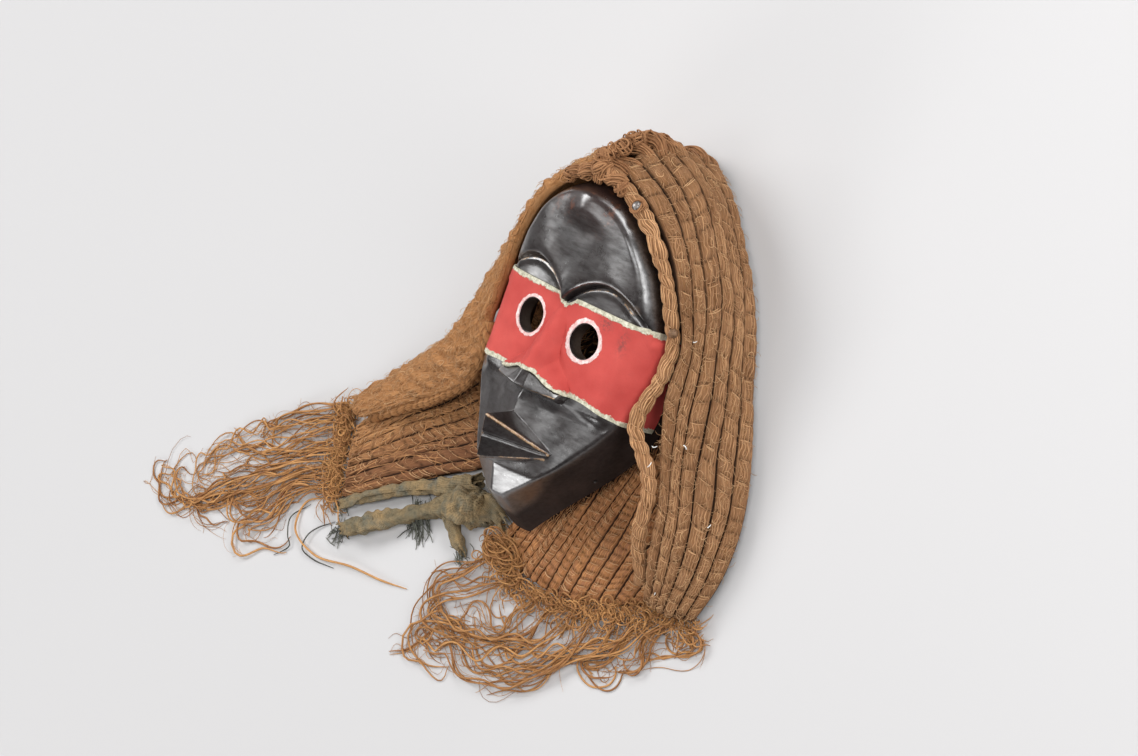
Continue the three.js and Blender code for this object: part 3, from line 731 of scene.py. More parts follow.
def carved_height(x, y, smooth=0.45):
    """The same, with its edges rounded a little, as a knife and years of handling leave them."""
    total = raw_height(x, y)
    for dx, dy in ((smooth, 0), (-smooth, 0), (0, smooth), (0, -smooth)):
        total = total + raw_height(x + dx, y + dy)
    slit = 2.4 * bell((y - MOUTH_SLIT_Y) / 1.1) * smooth_step(34, 30, np.abs(x))
    return total / 5 - slit + 0.16 * ripples(3, x, y, 26) + 0.03 * ripples(5, x, y, 9)


# Edges that handling has worn to bare wood, in the mask's own frame.
WORN_EDGES = [
    [(0, -29, 73), (29, -28, 60)], [(0, -29, 73), (-29, -28, 60)], [(29, -28, 60), (30, -23, 55)],
    [(0, -52, 88), (33, -66, 52)], [(0, -52, 88), (-33, -66, 52)],
    [(0, -83, 81), (31, -70.5, 52.5)], [(0, -83, 81), (-31, -70.5, 52.5)],
]


def distance_to_edges(points, edges):
    """Distance from each point to the nearest of the edges."""
    best = np.full(len(points), 50.0)
    for a, b in edges:
        a, b = np.array(a, float), np.array(b, float)
        t = np.clip((points - a) @ (b - a) / ((b - a) @ (b - a)), 0, 1)
        best = np.minimum(best, np.linalg.norm(points - a - t[:, None] * (b - a), axis=1))
    return best


def unlie(points):
    """Metres in the row's frame back to the mask's own millimetres."""
    p = points / MM
    y = p[:, 1] - LIE_Y
    z = p[:, 2] - LIE_Z
    up = np.cos(TILT)
    over = np.sin(TILT)
    return np.stack([p[:, 0], y * up + z * over, -y * over + z * up], axis=1)


# Rings and sides of the ball that the mask is made from, and share of its radius for the face.
FACE_RINGS = 74
WALL_RINGS = 20
HOLLOW_RINGS = 16
FACE_SIDES = 330
FACE_SHARE = 0.88
AT_RIM = 0.9995

# How deep the hollow lies under the face, and how far from the edges the faces are split.
HOLLOW_DEPTH = 9.9
FINE_REACH = (3.2, 1.6)


def carve_mask(finish):
    """The mask starts as a ball: its upper half becomes the face and its lower half the hollow."""
    rings = FACE_RINGS + WALL_RINGS + HOLLOW_RINGS
    deselect()
    bpy.ops.mesh.primitive_uv_sphere_add(segments=FACE_SIDES, ring_count=rings, radius=1)
    mask = bpy.context.active_object
    mask.name = mask.data.name = "carved_mask"
    ball = mesh_points(mask)
    ring = np.rint(np.arccos(np.clip(ball[:, 2], -1, 1)) / PI * rings)
    angle = np.arctan2(ball[:, 1], ball[:, 0])
    outer = ring <= FACE_RINGS + WALL_RINGS
    on_face = ring / FACE_RINGS * FACE_SHARE
    on_wall = FACE_SHARE + (1 - FACE_SHARE) * (ring - FACE_RINGS) / WALL_RINGS
    share = np.where(ring <= FACE_RINGS, on_face, on_wall)
    radius = outline_radius(angle)
    inward = (ring - FACE_RINGS - WALL_RINGS - 1) / (HOLLOW_RINGS - 1)
    inner_share = np.cos(0.5 * PI * np.clip(inward, 0, 1))
    reach = np.where(outer, share * radius, inner_share * (radius - WALL))
    x, y = reach * np.cos(angle), CENTRE_Y + reach * np.sin(angle)
    move_points(mask, np.stack([x, y, np.where(outer, 0, -1)], axis=1))
    refine_near_edges(mask)
    flat = mesh_points(mask)
    x, y = flat[:, 0], flat[:, 1]
    outer = flat[:, 2] > -0.5
    height = np.zeros(len(x))
    height[outer] = carved_height(x[outer], y[outer])
    height[~outer] = hollow_height(x[~outer], y[~outer])
    reach, radius = from_centre(x, y)
    at_rim = outer & (reach > AT_RIM * radius)
    height[at_rim] = rim_height(y[at_rim])
    move_points(mask, lie(x + chin_lean(y), y, height) * MM)
    drill(mask)
    mark_wear(mask, unlie(mesh_points(mask)))
    surface_with(mask, finish, 62)
    return mask


def hollow_height(x, y):
    """Height of the hollow inside the mask, which follows the face at a distance."""
    reach, radius = from_centre(x, y)
    radius = radius - WALL
    share = np.clip(reach / radius, 0, 1)
    face = np.where(y > ARCH_FOOT_Y + 12, FOREHEAD_LOW - 3, lower_front(x, y)) - HOLLOW_DEPTH
    rim = rim_height(y)
    wall = rim + wall_slope(y) * radius * (1 - share)
    inner = soft_min(face, wall, 14) + 0.5 * ripples(8, x, y, 22)
    return np.where(share > 0.999, rim, inner)


def refine_near_edges(mask):
    """Splits the faces beside the carved edges, so that the edges come out crisp."""
    for reach in FINE_REACH:
        only(mask)
        centres = np.empty(len(mask.data.polygons) * 3)
        mask.data.polygons.foreach_get("center", centres)
        c = centres.reshape(-1, 3)
        outer = c[:, 2] > -0.2
        near = distance_to_edges(c * (1, 1, 0), sharp_lines()) < reach
        near |= np.abs(arch_y(c[:, 0]) - c[:, 1]) < reach * 0.9
        bpy.ops.object.mode_set(mode="EDIT")
        bpy.ops.mesh.select_mode(type="FACE")
        bpy.ops.mesh.select_all(action="DESELECT")
        bpy.ops.object.mode_set(mode="OBJECT")
        mask.data.polygons.foreach_set("select", near & outer)
        bpy.ops.object.mode_set(mode="EDIT")
        bpy.ops.mesh.subdivide(number_cuts=1)
        bpy.ops.object.mode_set(mode="OBJECT")


# Where the carving turns sharply, seen from above on the right half of the mask.
CREASES = [
    [(0, -66), (34, -66)], [(0, -85), (29, -74)], [(0, -47.5), (34, -64)],
    [(0, -30.5), (29, -30)], [(29, -22), (12, -4)], [(29, -23), (29, -31)],
]


def sharp_lines():
    """All sharp edges of the carving, laid flat."""
    lines = [[(*a[:2], 0), (*b[:2], 0)] for a, b in WORN_EDGES]
    for side in (1, -1):
        lines += [[(side * a[0], a[1], 0), (side * b[0], b[1], 0)] for a, b in CREASES]
    return lines


def rod(x, y, z, radius, length, sides, lay_down=None):
    """Round cutter in the mask's own frame, in its place on the hood. It stands up, or lies down
    in the direction of an angle."""
    deselect()
    bpy.ops.mesh.primitive_cylinder_add(vertices=sides, radius=radius * MM, depth=length * MM)
    cutter = bpy.context.active_object
    if lay_down is not None:
        cutter.data.transform(Matrix.Rotation(PI / 2, 4, "Y"))
        cutter.data.transform(Matrix.Rotation(lay_down, 4, "Z"))
    cutter.data.transform(Matrix.Translation(Vector((x, y, z)) * MM))
    cutter.data.transform(Matrix.Rotation(TILT, 4, "X"))
    cutter.data.transform(Matrix.Translation(Vector((0, LIE_Y, LIE_Z)) * MM))
    return cutter


def cut(piece, cutter):
    """Takes the cutter's shape out of the piece."""
    tool = piece.modifiers.new("cut", "BOOLEAN")
    tool.operation = "DIFFERENCE"
    tool.solver = "MANIFOLD"
    tool.object = cutter
    apply_all(piece)
    bpy.data.objects.remove(cutter)


def drill(mask):
    """Cuts the eye holes and the lashing holes."""
    for side in (-1, 1):
        cut(mask, rod(side * EYE_X, EYE_Y, EYE_HOLE_MIDDLE, EYE_RADIUS, EYE_HOLE_LENGTH, 64))
    for degrees in LASHING_HOLES:
        angle = np.radians(degrees)
        reach = float(outline_radius(angle)) - LASHING_INSET
        x = reach * np.cos(angle)
        y = CENTRE_Y + reach * np.sin(angle)
        z = rim_height(y) + LASHING_LIFT
        cut(mask, rod(x + chin_lean(y), y, z, LASHING_RADIUS, LASHING_LENGTH, 24, angle))


def mark_wear(mask, points):
    """Paints where the wood is worn, rubbed or dull, and where it is the hollow."""
    x, y, z = points.T
    to_edge = distance_to_edges(points, WORN_EDGES)
    below = arch_y(x) - y
    lid = np.where((np.abs(x) > 10) & (np.abs(x) < 58) & (y > 34), np.abs(below - 3.6), 50)
    lips = smooth_step(-45, -52, y)
    paint(mask, "from_worn_edge", np.minimum(to_edge - 0.5 * lips, lid))
    rub = smooth_step(78, 104, y) * smooth_step(50, 20, np.abs(x + 6))
    paint(mask, "rub", np.clip(rub, 0, 1))
    reach, radius = from_centre(x - chin_lean(y), y)
    paint(mask, "dull", smooth_step(0.885, 0.92, reach / radius) * smooth_step(30, 5, y))
    inner = hollow_height(x - chin_lean(y), y)
    inside = (reach < radius - 4) & (z < inner + 2.5)
    paint(mask, "inside", inside.astype(float))


# ---- The red cloth band ----

def band_edges(x):
    """Lowest and highest y of the cloth at each x."""
    ax = np.abs(x)
    low = np.where(ax < 25, -24 + 6 * smooth_step(25, 4, ax), -24.5 - 2.5 * smooth_step(40, 80, ax))
    low = low - 2 * smooth_step(40, 80, x)
    high = BAND_TOP - 6.0 * np.clip(1 - np.abs(x - 2) / 7.5, 0, 1) ** 0.8
    return low, high


BAND_COLUMNS = 190
BAND_ROWS = 66
EYE_GAP = 0.5


def lay_band(finish):
    """A grid laid on the carving and pressed into its corners, then given the cloth's thickness."""
    deselect()
    bpy.ops.mesh.primitive_grid_add(x_subdivisions=BAND_COLUMNS, y_subdivisions=BAND_ROWS, size=2)
    band = bpy.context.active_object
    band.name = band.data.name = "eye_band_cloth"
    grid = mesh_points(band)
    q, r = np.abs(grid[:, 0]), (grid[:, 1] + 1) / 2
    across = np.sign(grid[:, 0]) * np.where(q < 0.76, q / 0.76 * 0.86, 0.86 + 0.118 * (q - 0.76) / 0.24)

    def on_wood(across, r):
        """Points of the wood, at shares of the band's length and width."""
        low, high = band_edges(across * HALF_WIDTH)
        y = low + (high - low) * r
        x = across * half_width(y)
        return np.stack([x, y, carved_height(x, y, 0.8)], axis=1)

    here = on_wood(across, r)
    step, last = 0.004, 0.985
    along = on_wood(np.clip(across + step, -last, last), r) - on_wood(np.clip(across - step, -last, last), r)
    up = on_wood(across, np.clip(r + step, 0, 1)) - on_wood(across, np.clip(r - step, 0, 1))
    normal = unit(np.cross(along, up))
    x, y = here[:, 0], here[:, 1]
    near_nose = bell((x - 4) / 16) * smooth_step(34, 18, y) * smooth_step(-24, -10, y)
    pucker = np.abs(np.sin(0.33 * x + 0.16 * y + 1.1 * np.sin(0.11 * y))) ** 2
    lift = 0.42 + 0.8 * near_nose * pucker + 0.12 * (1 + ripples(12, x, y, 18))
    here = here + normal * lift[:, None]
    placed = lie(here[:, 0] + chin_lean(here[:, 1]), here[:, 1], here[:, 2])
    move_points(band, placed * MM)
    thicken(band, BAND_CLOTH, 1)
    for side in (-1, 1):
        cut(band, rod(side * EYE_X, EYE_Y, EYE_HOLE_MIDDLE, EYE_RADIUS + EYE_GAP, EYE_HOLE_LENGTH, 72))
    x, y, z = unlie(mesh_points(band)).T
    low, high = band_edges(x * HALF_WIDTH / np.maximum(half_width(y), 1))
    paint(band, "from_border", np.minimum(high - y, y - low))
    from_eye = np.full(len(x), 90.0)
    for side in (-1, 1):
        dx, dy = x - side * EYE_X, y - EYE_Y
        turn = np.arctan2(dy, dx)
        lobes = 0.5 * np.abs(np.sin(7 * turn + side)) + 0.3 * np.sin(3 * turn + 2 * side) + 0.4 * side
        from_eye = np.minimum(from_eye, np.hypot(dx, dy) - lobes)
    paint(band, "from_eye", from_eye)
    # Two patches on the band's right side: scuffs, darkened further as painted shade.
    scuff_and_shade = bell((x - 40) / 5) * bell((y - 31) / 4) + 0.8 * bell((x - 57) / 3) * bell((y - 24) / 8)
    paint(band, "scuff_and_shade", np.clip(scuff_and_shade, 0, 1))
    surface_with(band, finish, 60)
    return band


# ---- The hood of cords ----

# Guide lines of the hood's panels, from the crest to the hem: front edge, middle and back edge.
RIGHT_SIDE = [
    [[7, 120, 94], [40.5, 103, 87], [65.5, 82, 80], [79.5, 54, 68], [87, 27, 55.5],
     [89, -8, 52], [97.5, -36, 47], [109, -74, 38], [112, -107, 28], [117, -138, 17]],
    [[8, 144, 60], [40, 127, 50], [68, 98, 45], [91, 60, 40], [104, 22, 37],
     [115, -12, 34], [123, -44, 31], [132, -76, 27], [135, -108, 22], [133, -139, 17]],
    [[11, 147, 8], [40, 124, 5], [70, 92, 5], [99, 54, 5], [119, 14, 5],
     [137, -18, 5], [151, -50, 5], [157, -78, 5], [157, -106, 5], [151, -135, 6]],
]
LEFT_SIDE = [
    [[-6, 116, 98], [-32, 103, 92], [-56, 83, 85], [-74, 54, 72], [-82, 20, 60],
     [-84, -12, 54], [-84, -40, 47], [-98, -66, 37], [-140, -92, 26], [-200, -128, 15]],
    [[-8, 144, 60], [-42, 122, 58], [-70, 92, 55], [-90, 57, 51], [-101, 20, 49],
     [-109, -14, 47], [-124, -42, 40], [-146, -66, 31], [-180, -96, 20], [-214, -129, 15]],
    [[-10, 147, 8], [-42, 124, 5], [-76, 94, 5], [-102, 56, 5], [-120, 16, 5],
     [-132, -12, 5], [-146, -36, 5], [-166, -58, 5], [-195, -88, 5], [-227, -122, 5]],
]
# The back panels lie flat, so their lines have no heights.
LOW = CORD / 2 - 0.05
RIGHT_BACK = [
    [[12, 134], [34, 112], [58, 84], [86, 46], [107, 10], [125, -20], [139, -50], [144, -78], [142, -106],
     [134, -133]],
    [[6, 131], [14, 106], [24, 78], [36, 44], [45, 8], [51, -26], [54, -60], [47, -94], [39, -130],
     [31, -169]],
    [[0, 129], [-7, 103], [-12, 76], [-15, 42], [-16, 8], [-16, -26], [-15, -60], [-18, -94], [-26, -128],
     [-38, -163]],
]
LEFT_BACK = [
    [[-12, 134], [-38, 112], [-68, 84], [-92, 48], [-110, 10], [-122, -18], [-136, -45], [-154, -69],
     [-182, -101], [-213, -138]],
    [[-7, 131], [-24, 106], [-42, 78], [-55, 42], [-65, 4], [-73, -30], [-88, -60], [-114, -88], [-156, -118],
     [-209, -161]],
    [[-1.5, 129], [-8.5, 103], [-13.5, 76], [-16.5, 42], [-17.5, 8], [-18, -28], [-30, -68], [-58, -104],
     [-116, -141], [-198, -192]],
]


# How far the wrappings pinch a cord, how far their painted shade reaches, and how far their painted shade
# hides its yarns.
PINCH_WIDTH = 2.1
SHADE_WIDTH = 1.3
WOUND_WIDTH = 1.4
BARE_SHARE = 0.25


def crown(part):
    """Roundness of a cord over its width: 1 in the middle and 0 at both sides."""
    return np.sqrt(np.clip(1 - (2 * part - 1) ** 2, 0, 1))


class CordMat:
    """Cords sewn side by side on a surface that is spanned by three guide lines."""

    def __init__(self, guides, cords, facing, seed, *, relief=4.2, groove=0.8, pinch=1.2, ring_gap=14.0,
                 even=0.3, lumps=0.0):
        guides = np.array(guides, float)
        self.flat = guides.shape[2] == 2
        if self.flat:
            guides = np.concatenate([guides, np.full((*guides.shape[:2], 1), LOW)], axis=2)
        self.guides = guides
        self.cords = cords
        self.facing = facing
        self.relief = relief
        self.groove = groove
        self.pinch = pinch
        self.lumps = lumps
        rng = np.random.default_rng(seed)
        self.length = float(np.mean([walk(spline(g, np.linspace(0, 1, 200)))[-1] for g in guides]))
        self.knots = np.linspace(0, self.length, 60)
        self.shift = drift(rng, cords + 1, self.knots, 38.0) * 0.12
        self.shift[[0, -1]] = 0
        self.height = drift(rng, cords, self.knots, 24.0) * 0.55
        self.girth = 1 + drift(rng, cords, self.knots, 11.0) * 0.08
        self.slant = rng.uniform(-0.4, 0.7, cords) * CORD
        self.rings = []
        for _ in range(cords):
            gaps = rng.uniform(1 - even, 1 + even, int(self.length / ring_gap * 1.7)) * ring_gap
            self.rings.append(np.cumsum(gaps) - rng.uniform(0, ring_gap))

    def on_guides(self, u, v):
        """Points of the middle surface, at shares of its length and width."""
        rows = np.stack([spline(g, u) for g in self.guides], axis=1)
        return spline(rows, v)

    def across(self, cord, part, u):
        """Place across the mat, from 0 to 1, of a part of one cord's width."""
        s = u * self.length
        index = np.clip(cord, 0, self.cords - 1)
        low = index + self.look_up(self.shift, index, s)
        high = index + 1 + self.look_up(self.shift, index + 1, s)
        return np.clip((low + (high - low) * part) / self.cords, 0, 1)

    def look_up(self, table, index, s):
        """Slow unevenness of a cord, at a distance along it."""
        place = np.clip(s, 0, self.length) / self.length * (len(self.knots) - 1)
        i = np.minimum(place.astype(int), len(self.knots) - 2)
        w = place - i
        return table[index, i] * (1 - w) + table[index, i + 1] * w

    def from_ring(self, cord, part, s):
        """Distance along the cord to its nearest wrapping."""
        found = np.full(len(s), 50.0)
        for c in range(self.cords):
            on = cord == c
            if on.any():
                place = s[on] + self.slant[c] * (part[on] - 0.5)
                k = np.clip(np.searchsorted(self.rings[c], place), 1, len(self.rings[c]) - 1)
                found[on] = np.minimum(np.abs(place - self.rings[c][k - 1]), np.abs(place - self.rings[c][k]))
        return found

    def top(self, cord, part, u):
        """Height of the cords over the middle surface."""
        s = u * self.length
        rounded = crown(part)
        pinch = self.pinch * bell(self.from_ring(cord, part, s) / PINCH_WIDTH) * rounded
        girth = self.look_up(self.girth, cord, s)
        edge = np.ones(len(u))
        first = (cord == 0) & (part < 0.5)
        edge[first] = 2 * part[first]
        last = (cord == self.cords - 1) & (part > 0.5)
        edge[last] = 2 * (1 - part[last])
        groove = self.groove * np.sqrt(np.clip(1 - (1 - edge) ** 2, 0, 1))
        height = groove + self.relief * girth * rounded - pinch
        if self.lumps:
            across = (cord + part) * CORD
            lump = ripples(17, s, across, 16) + 0.3 * ripples(18, s, across, 7)
            return height + self.lumps * lump * np.clip(edge * 3, 0, 1)
        return height + self.look_up(self.height, cord, s) * rounded

    def frame_at(self, u, v):
        """Directions out of the mat and along it."""
        e = 0.006
        along = self.on_guides(np.minimum(u + e, 1), v) - self.on_guides(np.maximum(u - e, 0), v)
        wide = self.on_guides(u, np.minimum(v + 0.02, 1)) - self.on_guides(u, np.maximum(v - 0.02, 0))
        return unit(np.cross(wide, along)) * self.facing, unit(along)

    def on_top(self, cord, part, u, lift=0.0):
        """Points just over the cords, for stitches and hairs."""
        v = self.across(cord, part, u)
        normal, _ = self.frame_at(u, v)
        return self.on_guides(u, v) + normal * (self.top(cord, part, u) + lift)[:, None]

    def build(self, name, finish, row_gap=1.4, per_cord=16, under_per_cord=4, far_darkening=0):
        """The mat as one piece, with its cords on top and a plain underside."""
        rows = int(self.length / row_gap)
        top_cord = np.append(np.repeat(np.arange(self.cords), per_cord), self.cords - 1)
        top_part = np.append(np.tile(np.arange(per_cord) / per_cord, self.cords), 1.0)
        low_cord = np.repeat(np.arange(self.cords), under_per_cord)[::-1]
        low_part = np.tile((np.arange(under_per_cord) + 0.5) / under_per_cord, self.cords)[::-1]
        count = len(top_cord) + len(low_cord)
        u = np.repeat(np.linspace(0, 1, rows), count)
        cord = np.tile(np.concatenate([top_cord, low_cord]), rows)
        part = np.tile(np.concatenate([top_part, low_part]), rows)
        is_top = np.tile(np.arange(count) < len(top_cord), rows)
        v = self.across(cord, part, u)
        normal, _ = self.frame_at(u, v)
        height = np.where(is_top, self.top(cord, part, u), -1.9 - 2.6 * crown(part))
        ends = smooth_step(0, 0.02, u) * smooth_step(1, 0.975, u)
        height = height * (0.45 + 0.55 * ends)
        points = self.on_guides(u, v) + normal * height[:, None]
        if self.flat:
            points[~is_top, 2] = 0.05
        points[:, 2] = np.maximum(points[:, 2], 0.05)
        piece = new_piece(name, points, tube_faces(rows, count), finish)
        run_map(piece, cord + part, u * self.length)
        # Painted shade: dark in the grooves between cords and at the wrappings, half dark on the underside.
        groove = 1 - crown(part)
        ring = 0.55 * bell(self.from_ring(cord, part, u * self.length) / SHADE_WIDTH)
        shade = np.where(is_top, np.maximum(groove**1.3, ring), 0.5)
        # The felted side gets painted shade in thin crease lines instead, and the flat mats get painted shade
        # under the mask.
        if self.lumps:
            crease = ripples(19, u * self.length * 0.5, (cord + part) * CORD, 17)
            shade = 0.6 * bell(crease / 0.09) * is_top
        paint(piece, "painted_shade", np.maximum(shade, under_mask(points) * self.flat))
        # Darker towards the last cords, by the amount asked for.
        paint(piece, "far_darkening", far_darkening * smooth_step(0.45, 0.8, (cord + part) / self.cords))
        face_outwards(piece)
        return piece


def under_mask(points):
    """1 under the mask, where hardly any light comes, and 0 a little outside its rim."""
    reach, radius = from_centre(points[:, 0], points[:, 1] - LIE_Y)
    return smooth_step(0.97, 0.86, reach / radius)


def tube_faces(rows, count):
    """Faces of a closed tube: rows of points around it, and a cap at each end."""
    faces = []
    for a in range(0, (rows - 1) * count, count):
        b = a + count
        for i in range(count - 1):
            faces.append([a + i, a + i + 1, b + i + 1, b + i])
        faces.append([a + count - 1, a, b, b + count - 1])
    return faces + [list(range(count))[::-1], list(range((rows - 1) * count, rows * count))]


def run_map(piece, across, along):
    """UV map whose U counts cords and whose V is the length along them in millimetres."""
    layer = piece.data.uv_layers.new(name="run")
    corner = np.empty(len(piece.data.loops), int)
    piece.data.loops.foreach_get("vertex_index", corner)
    uv = np.stack([across[corner], along[corner]], axis=1)
    layer.data.foreach_set("uv", uv.ravel())


def threads(name, made, finish, sides=4, taper=0.5):
    """Many thin threads in one mesh, made of their lines, radii and tones. Each line is a row of
    points, and all have the same number."""
    lines = np.asarray(made[0], float)
    count, n, _ = lines.shape
    radii = np.broadcast_to(np.asarray(made[1], float), (count,))
    tangent = unit(np.gradient(lines, axis=1))
    # Where the first points of a thread lie in one place, it takes the first direction that it has.
    moving = tangent.any(axis=2)
    first_way = tangent[np.arange(count), moving.argmax(axis=1)]
    tangent = np.where(moving[:, :, None], tangent, first_way[:, None])
    side = unit(np.cross(tangent[:, 0], np.broadcast_to([0.31, 0.17, 0.93], (count, 3))))
    ring_angle = np.arange(sides) * 2 * PI / sides
    points = np.empty((count, n, sides, 3))
    for k in range(n):
        side = unit(side - tangent[:, k] * np.sum(side * tangent[:, k], axis=1)[:, None])
        other = np.cross(tangent[:, k], side)
        thin = taper + (1 - taper) * min(1.0, 6 * min(k, n - 1 - k) / (n - 1))
        for s, a in enumerate(ring_angle):
            offset = (np.cos(a) * side + np.sin(a) * other) * (radii * thin)[:, None]
            points[:, k, s] = lines[:, k] + offset
    base = (np.arange(count) * n * sides)[:, None, None]
    k, s = np.meshgrid(np.arange(n - 1), np.arange(sides), indexing="ij")
    a = k * sides + s
    b = k * sides + (s + 1) % sides
    quads = np.stack([a, b, b + sides, a + sides], axis=-1).reshape(-1, 4)
    faces = (base + quads[None]).reshape(-1, 4).tolist()
    start = np.arange(sides)[::-1]
    stop = (n - 1) * sides + np.arange(sides)
    for c in range(count):
        faces.append((c * n * sides + start).tolist())
        faces.append((c * n * sides + stop).tolist())
    piece = new_piece(name, points.reshape(-1, 3), faces, finish)
    steps = np.linalg.norm(np.diff(lines, axis=1), axis=2)
    length = np.concatenate([np.zeros((count, 1)), np.cumsum(steps, axis=1)], axis=1)
    across = np.broadcast_to(np.arange(count)[:, None, None] * 7.3 + ring_angle / (2 * PI), (count, n, sides))
    along = np.broadcast_to(length[:, :, None], (count, n, sides))
    run_map(piece, across.ravel(), along.ravel())
    tones = np.asarray(made[2], float)
    if tones.ndim == 1:
        tones = np.repeat(tones[:, None], n, axis=1)
    paint(piece, "tone", np.repeat(tones.ravel(), sides))
    return piece


# Number of points in a wound thread or slack loop, a short yarn and a hair.
LOOP_POINTS = 11
YARN_POINTS = 6
HAIR_POINTS = 7
HAIR_LENGTH = 7.0


def sew_on(name, made, finish, **shape):
    """Threads that belong to the hood."""
    return fit_on(threads(name, made, finish, **shape), "hood_cord")


def whipping(mat, seed):
    """Thin threads wound around each cord at its rings; some show over a part of it only."""
    rng = np.random.default_rng(seed)
    lines, tones, radii = [], [], []
    for c in range(mat.cords):
        for place in mat.rings[c]:
            if not 4 < place < mat.length - 4 or rng.random() < BARE_SHARE:
                continue
            for turn in range(rng.integers(1, 3)):
                part = np.linspace(rng.uniform(0.04, 0.3), rng.uniform(0.7, 0.96), LOOP_POINTS)
                slant = mat.slant[c] + rng.normal(0, 1.2)
                sag = 0.9 * np.sin(PI * part)
                s = place - slant * (part - 0.5) + sag + turn * 1.2 + rng.normal(0, 0.4)
                u = np.clip(s / mat.length, 0, 1)
                lines.append(mat.on_top(np.full(LOOP_POINTS, c), part, u, 0.12 + 0.1 * rng.random()))
                tones.append(rng.uniform(0.2, 0.9))
                radii.append(rng.uniform(0.22, 0.38))
    return lines, radii, tones


def yarns(mat, seed, lanes, thick, start, step):
    """The yarns that each cord is made of: they lie along it, a little wavy, and sway together."""
    rng = np.random.default_rng(seed)
    s = np.arange(start * mat.length + 2, mat.length - 2, step)
    u = s / mat.length
    lines, tones = [], []
    for c in range(mat.cords):
        sway = 0.17 * drift(rng, 1, s, 9.0)[0]
        patch = 0.16 * drift(rng, 1, s, 25.0)[0] + rng.normal(0, 0.1)
        for k in range(lanes):
            wave = 0.08 * drift(rng, 1, s, 3.5)[0]
            angle = PI * (k + 0.5 + rng.normal(0, 0.1)) / lanes + sway + wave
            part = np.clip(0.5 - 0.46 * np.cos(np.clip(angle, 0, PI)), 0.1, 0.9)
            cord = np.full(len(s), c)
            lines.append(mat.on_top(cord, part, u, -0.12))
            # Painted shade: yarns darker where a wrapping pinches them and towards the cord's sides, which
            # turn away from the light.
            wound = bell(mat.from_ring(cord, part, s) / WOUND_WIDTH)
            turned = 0.5 * (np.abs(2 * part - 1) / 0.8) ** 2.5
            tone = rng.normal(0.55, 0.16) + patch + 0.1 * drift(rng, 1, s, 6.0)[0]
            tones.append(tone - 0.5 * wound - turned)
    return lines, rng.uniform(*thick, len(lines)), np.clip(tones, 0, 1)


def felted_yarns(mat, seed, count, reach, thick, tone_slope=0):
    """Short yarns matted into the surface; most of them run along the cords."""
    rng = np.random.default_rng(seed)
    t = np.linspace(-0.5, 0.5, YARN_POINTS)
    heading = rng.normal(0, 0.55, (count, 1))
    length = rng.uniform(0.4, 1, (count, 1)) * reach
    bend = rng.normal(0, 0.14, (count, 1)) * length * np.cos(PI * t)
    along = length * t * np.cos(heading) - bend * np.sin(heading)
    wide = length * t * np.sin(heading) + bend * np.cos(heading)
    place = np.clip(rng.uniform(0, mat.length, (count, 1)) + along, 1, mat.length - 1)
    spot = np.clip(rng.uniform(0, mat.cords, (count, 1)) + wide / CORD, 0.02, mat.cords - 0.02)
    cord = np.floor(spot).astype(int).ravel()
    points = mat.on_top(cord, spot.ravel() - cord, place.ravel() / mat.length, -0.1)
    lines = points.reshape(-1, YARN_POINTS, 3)
    # Tones lighter towards the first cords and darker towards the last, by the slope.
    tones = rng.normal(0.5, 0.3, count) + tone_slope * (0.5 - spot.mean(axis=1) / mat.cords)
    return lines, rng.uniform(*thick, count), np.clip(tones, 0, 1)


def curls(mat, seed, count):
    """Little slack loops of thread that stand out of the wrapping."""
    rng = np.random.default_rng(seed)
    lines, tones, radii = [], [], []
    for _ in range(count):
        cord = rng.integers(0, mat.cords)
        middle = rng.uniform(0.22, 0.78)
        u0 = rng.uniform(0.02, 0.98)
        size = rng.uniform(1.3, 3.2)
        span = rng.uniform(1.6, 4.6)
        start = rng.uniform(0, 2 * PI)
        a = start + np.linspace(0, span, LOOP_POINTS)
        part = np.clip(middle + np.cos(a) * size * 0.8 / CORD, 0.03, 0.97)
        u = np.clip(u0 + np.sin(a) * size * 1.5 / mat.length, 0, 1)
        lift = 0.1 + 0.5 * np.sin(np.linspace(0, PI, LOOP_POINTS)) * rng.uniform(0, 1.2)
        line = mat.on_top(np.full(LOOP_POINTS, cord), part, u)
        normal, _ = mat.frame_at(u, mat.across(np.full(LOOP_POINTS, cord), part, u))
        lines.append(line + normal * lift[:, None])
        tones.append(rng.uniform(0.3, 1.0))
        radii.append(rng.uniform(0.18, 0.32))
    return lines, radii, tones


def hairs(mat, seed, count):
    """Fine fibres that stand off the cords."""
    rng = np.random.default_rng(seed)
    cord = rng.integers(0, mat.cords, count)
    part = rng.uniform(0.1, 0.9, count)
    u = rng.uniform(0.01, 0.99, count)
    root = mat.on_top(cord, part, u, -0.3)
    normal, along = mat.frame_at(u, mat.across(cord, part, u))
    wide = np.cross(normal, along)
    length = rng.uniform(0.4, 1.0, (count, 1)) * HAIR_LENGTH
    heading = rng.uniform(-1, 1, (count, 1))
    lines = np.empty((count, HAIR_POINTS, 3))
    sway = rng.normal(0, 0.5, (count, 1))
    rise = rng.uniform(0.1, 0.45, (count, 1))
    for k, step in enumerate(np.linspace(0, 1, HAIR_POINTS)):
        side = heading + sway * step * 2
        forward = along * np.cos(side) + wide * np.sin(side)
        lines[:, k] = root + length * step * forward + normal * length * rise * np.sin(PI * 0.75 * step)
    lines[:, :, 2] = np.maximum(lines[:, :, 2], 0.3)
    tones = rng.uniform(0.2, 1.0, count)
    return lines, rng.uniform(0.1, 0.2, count), tones


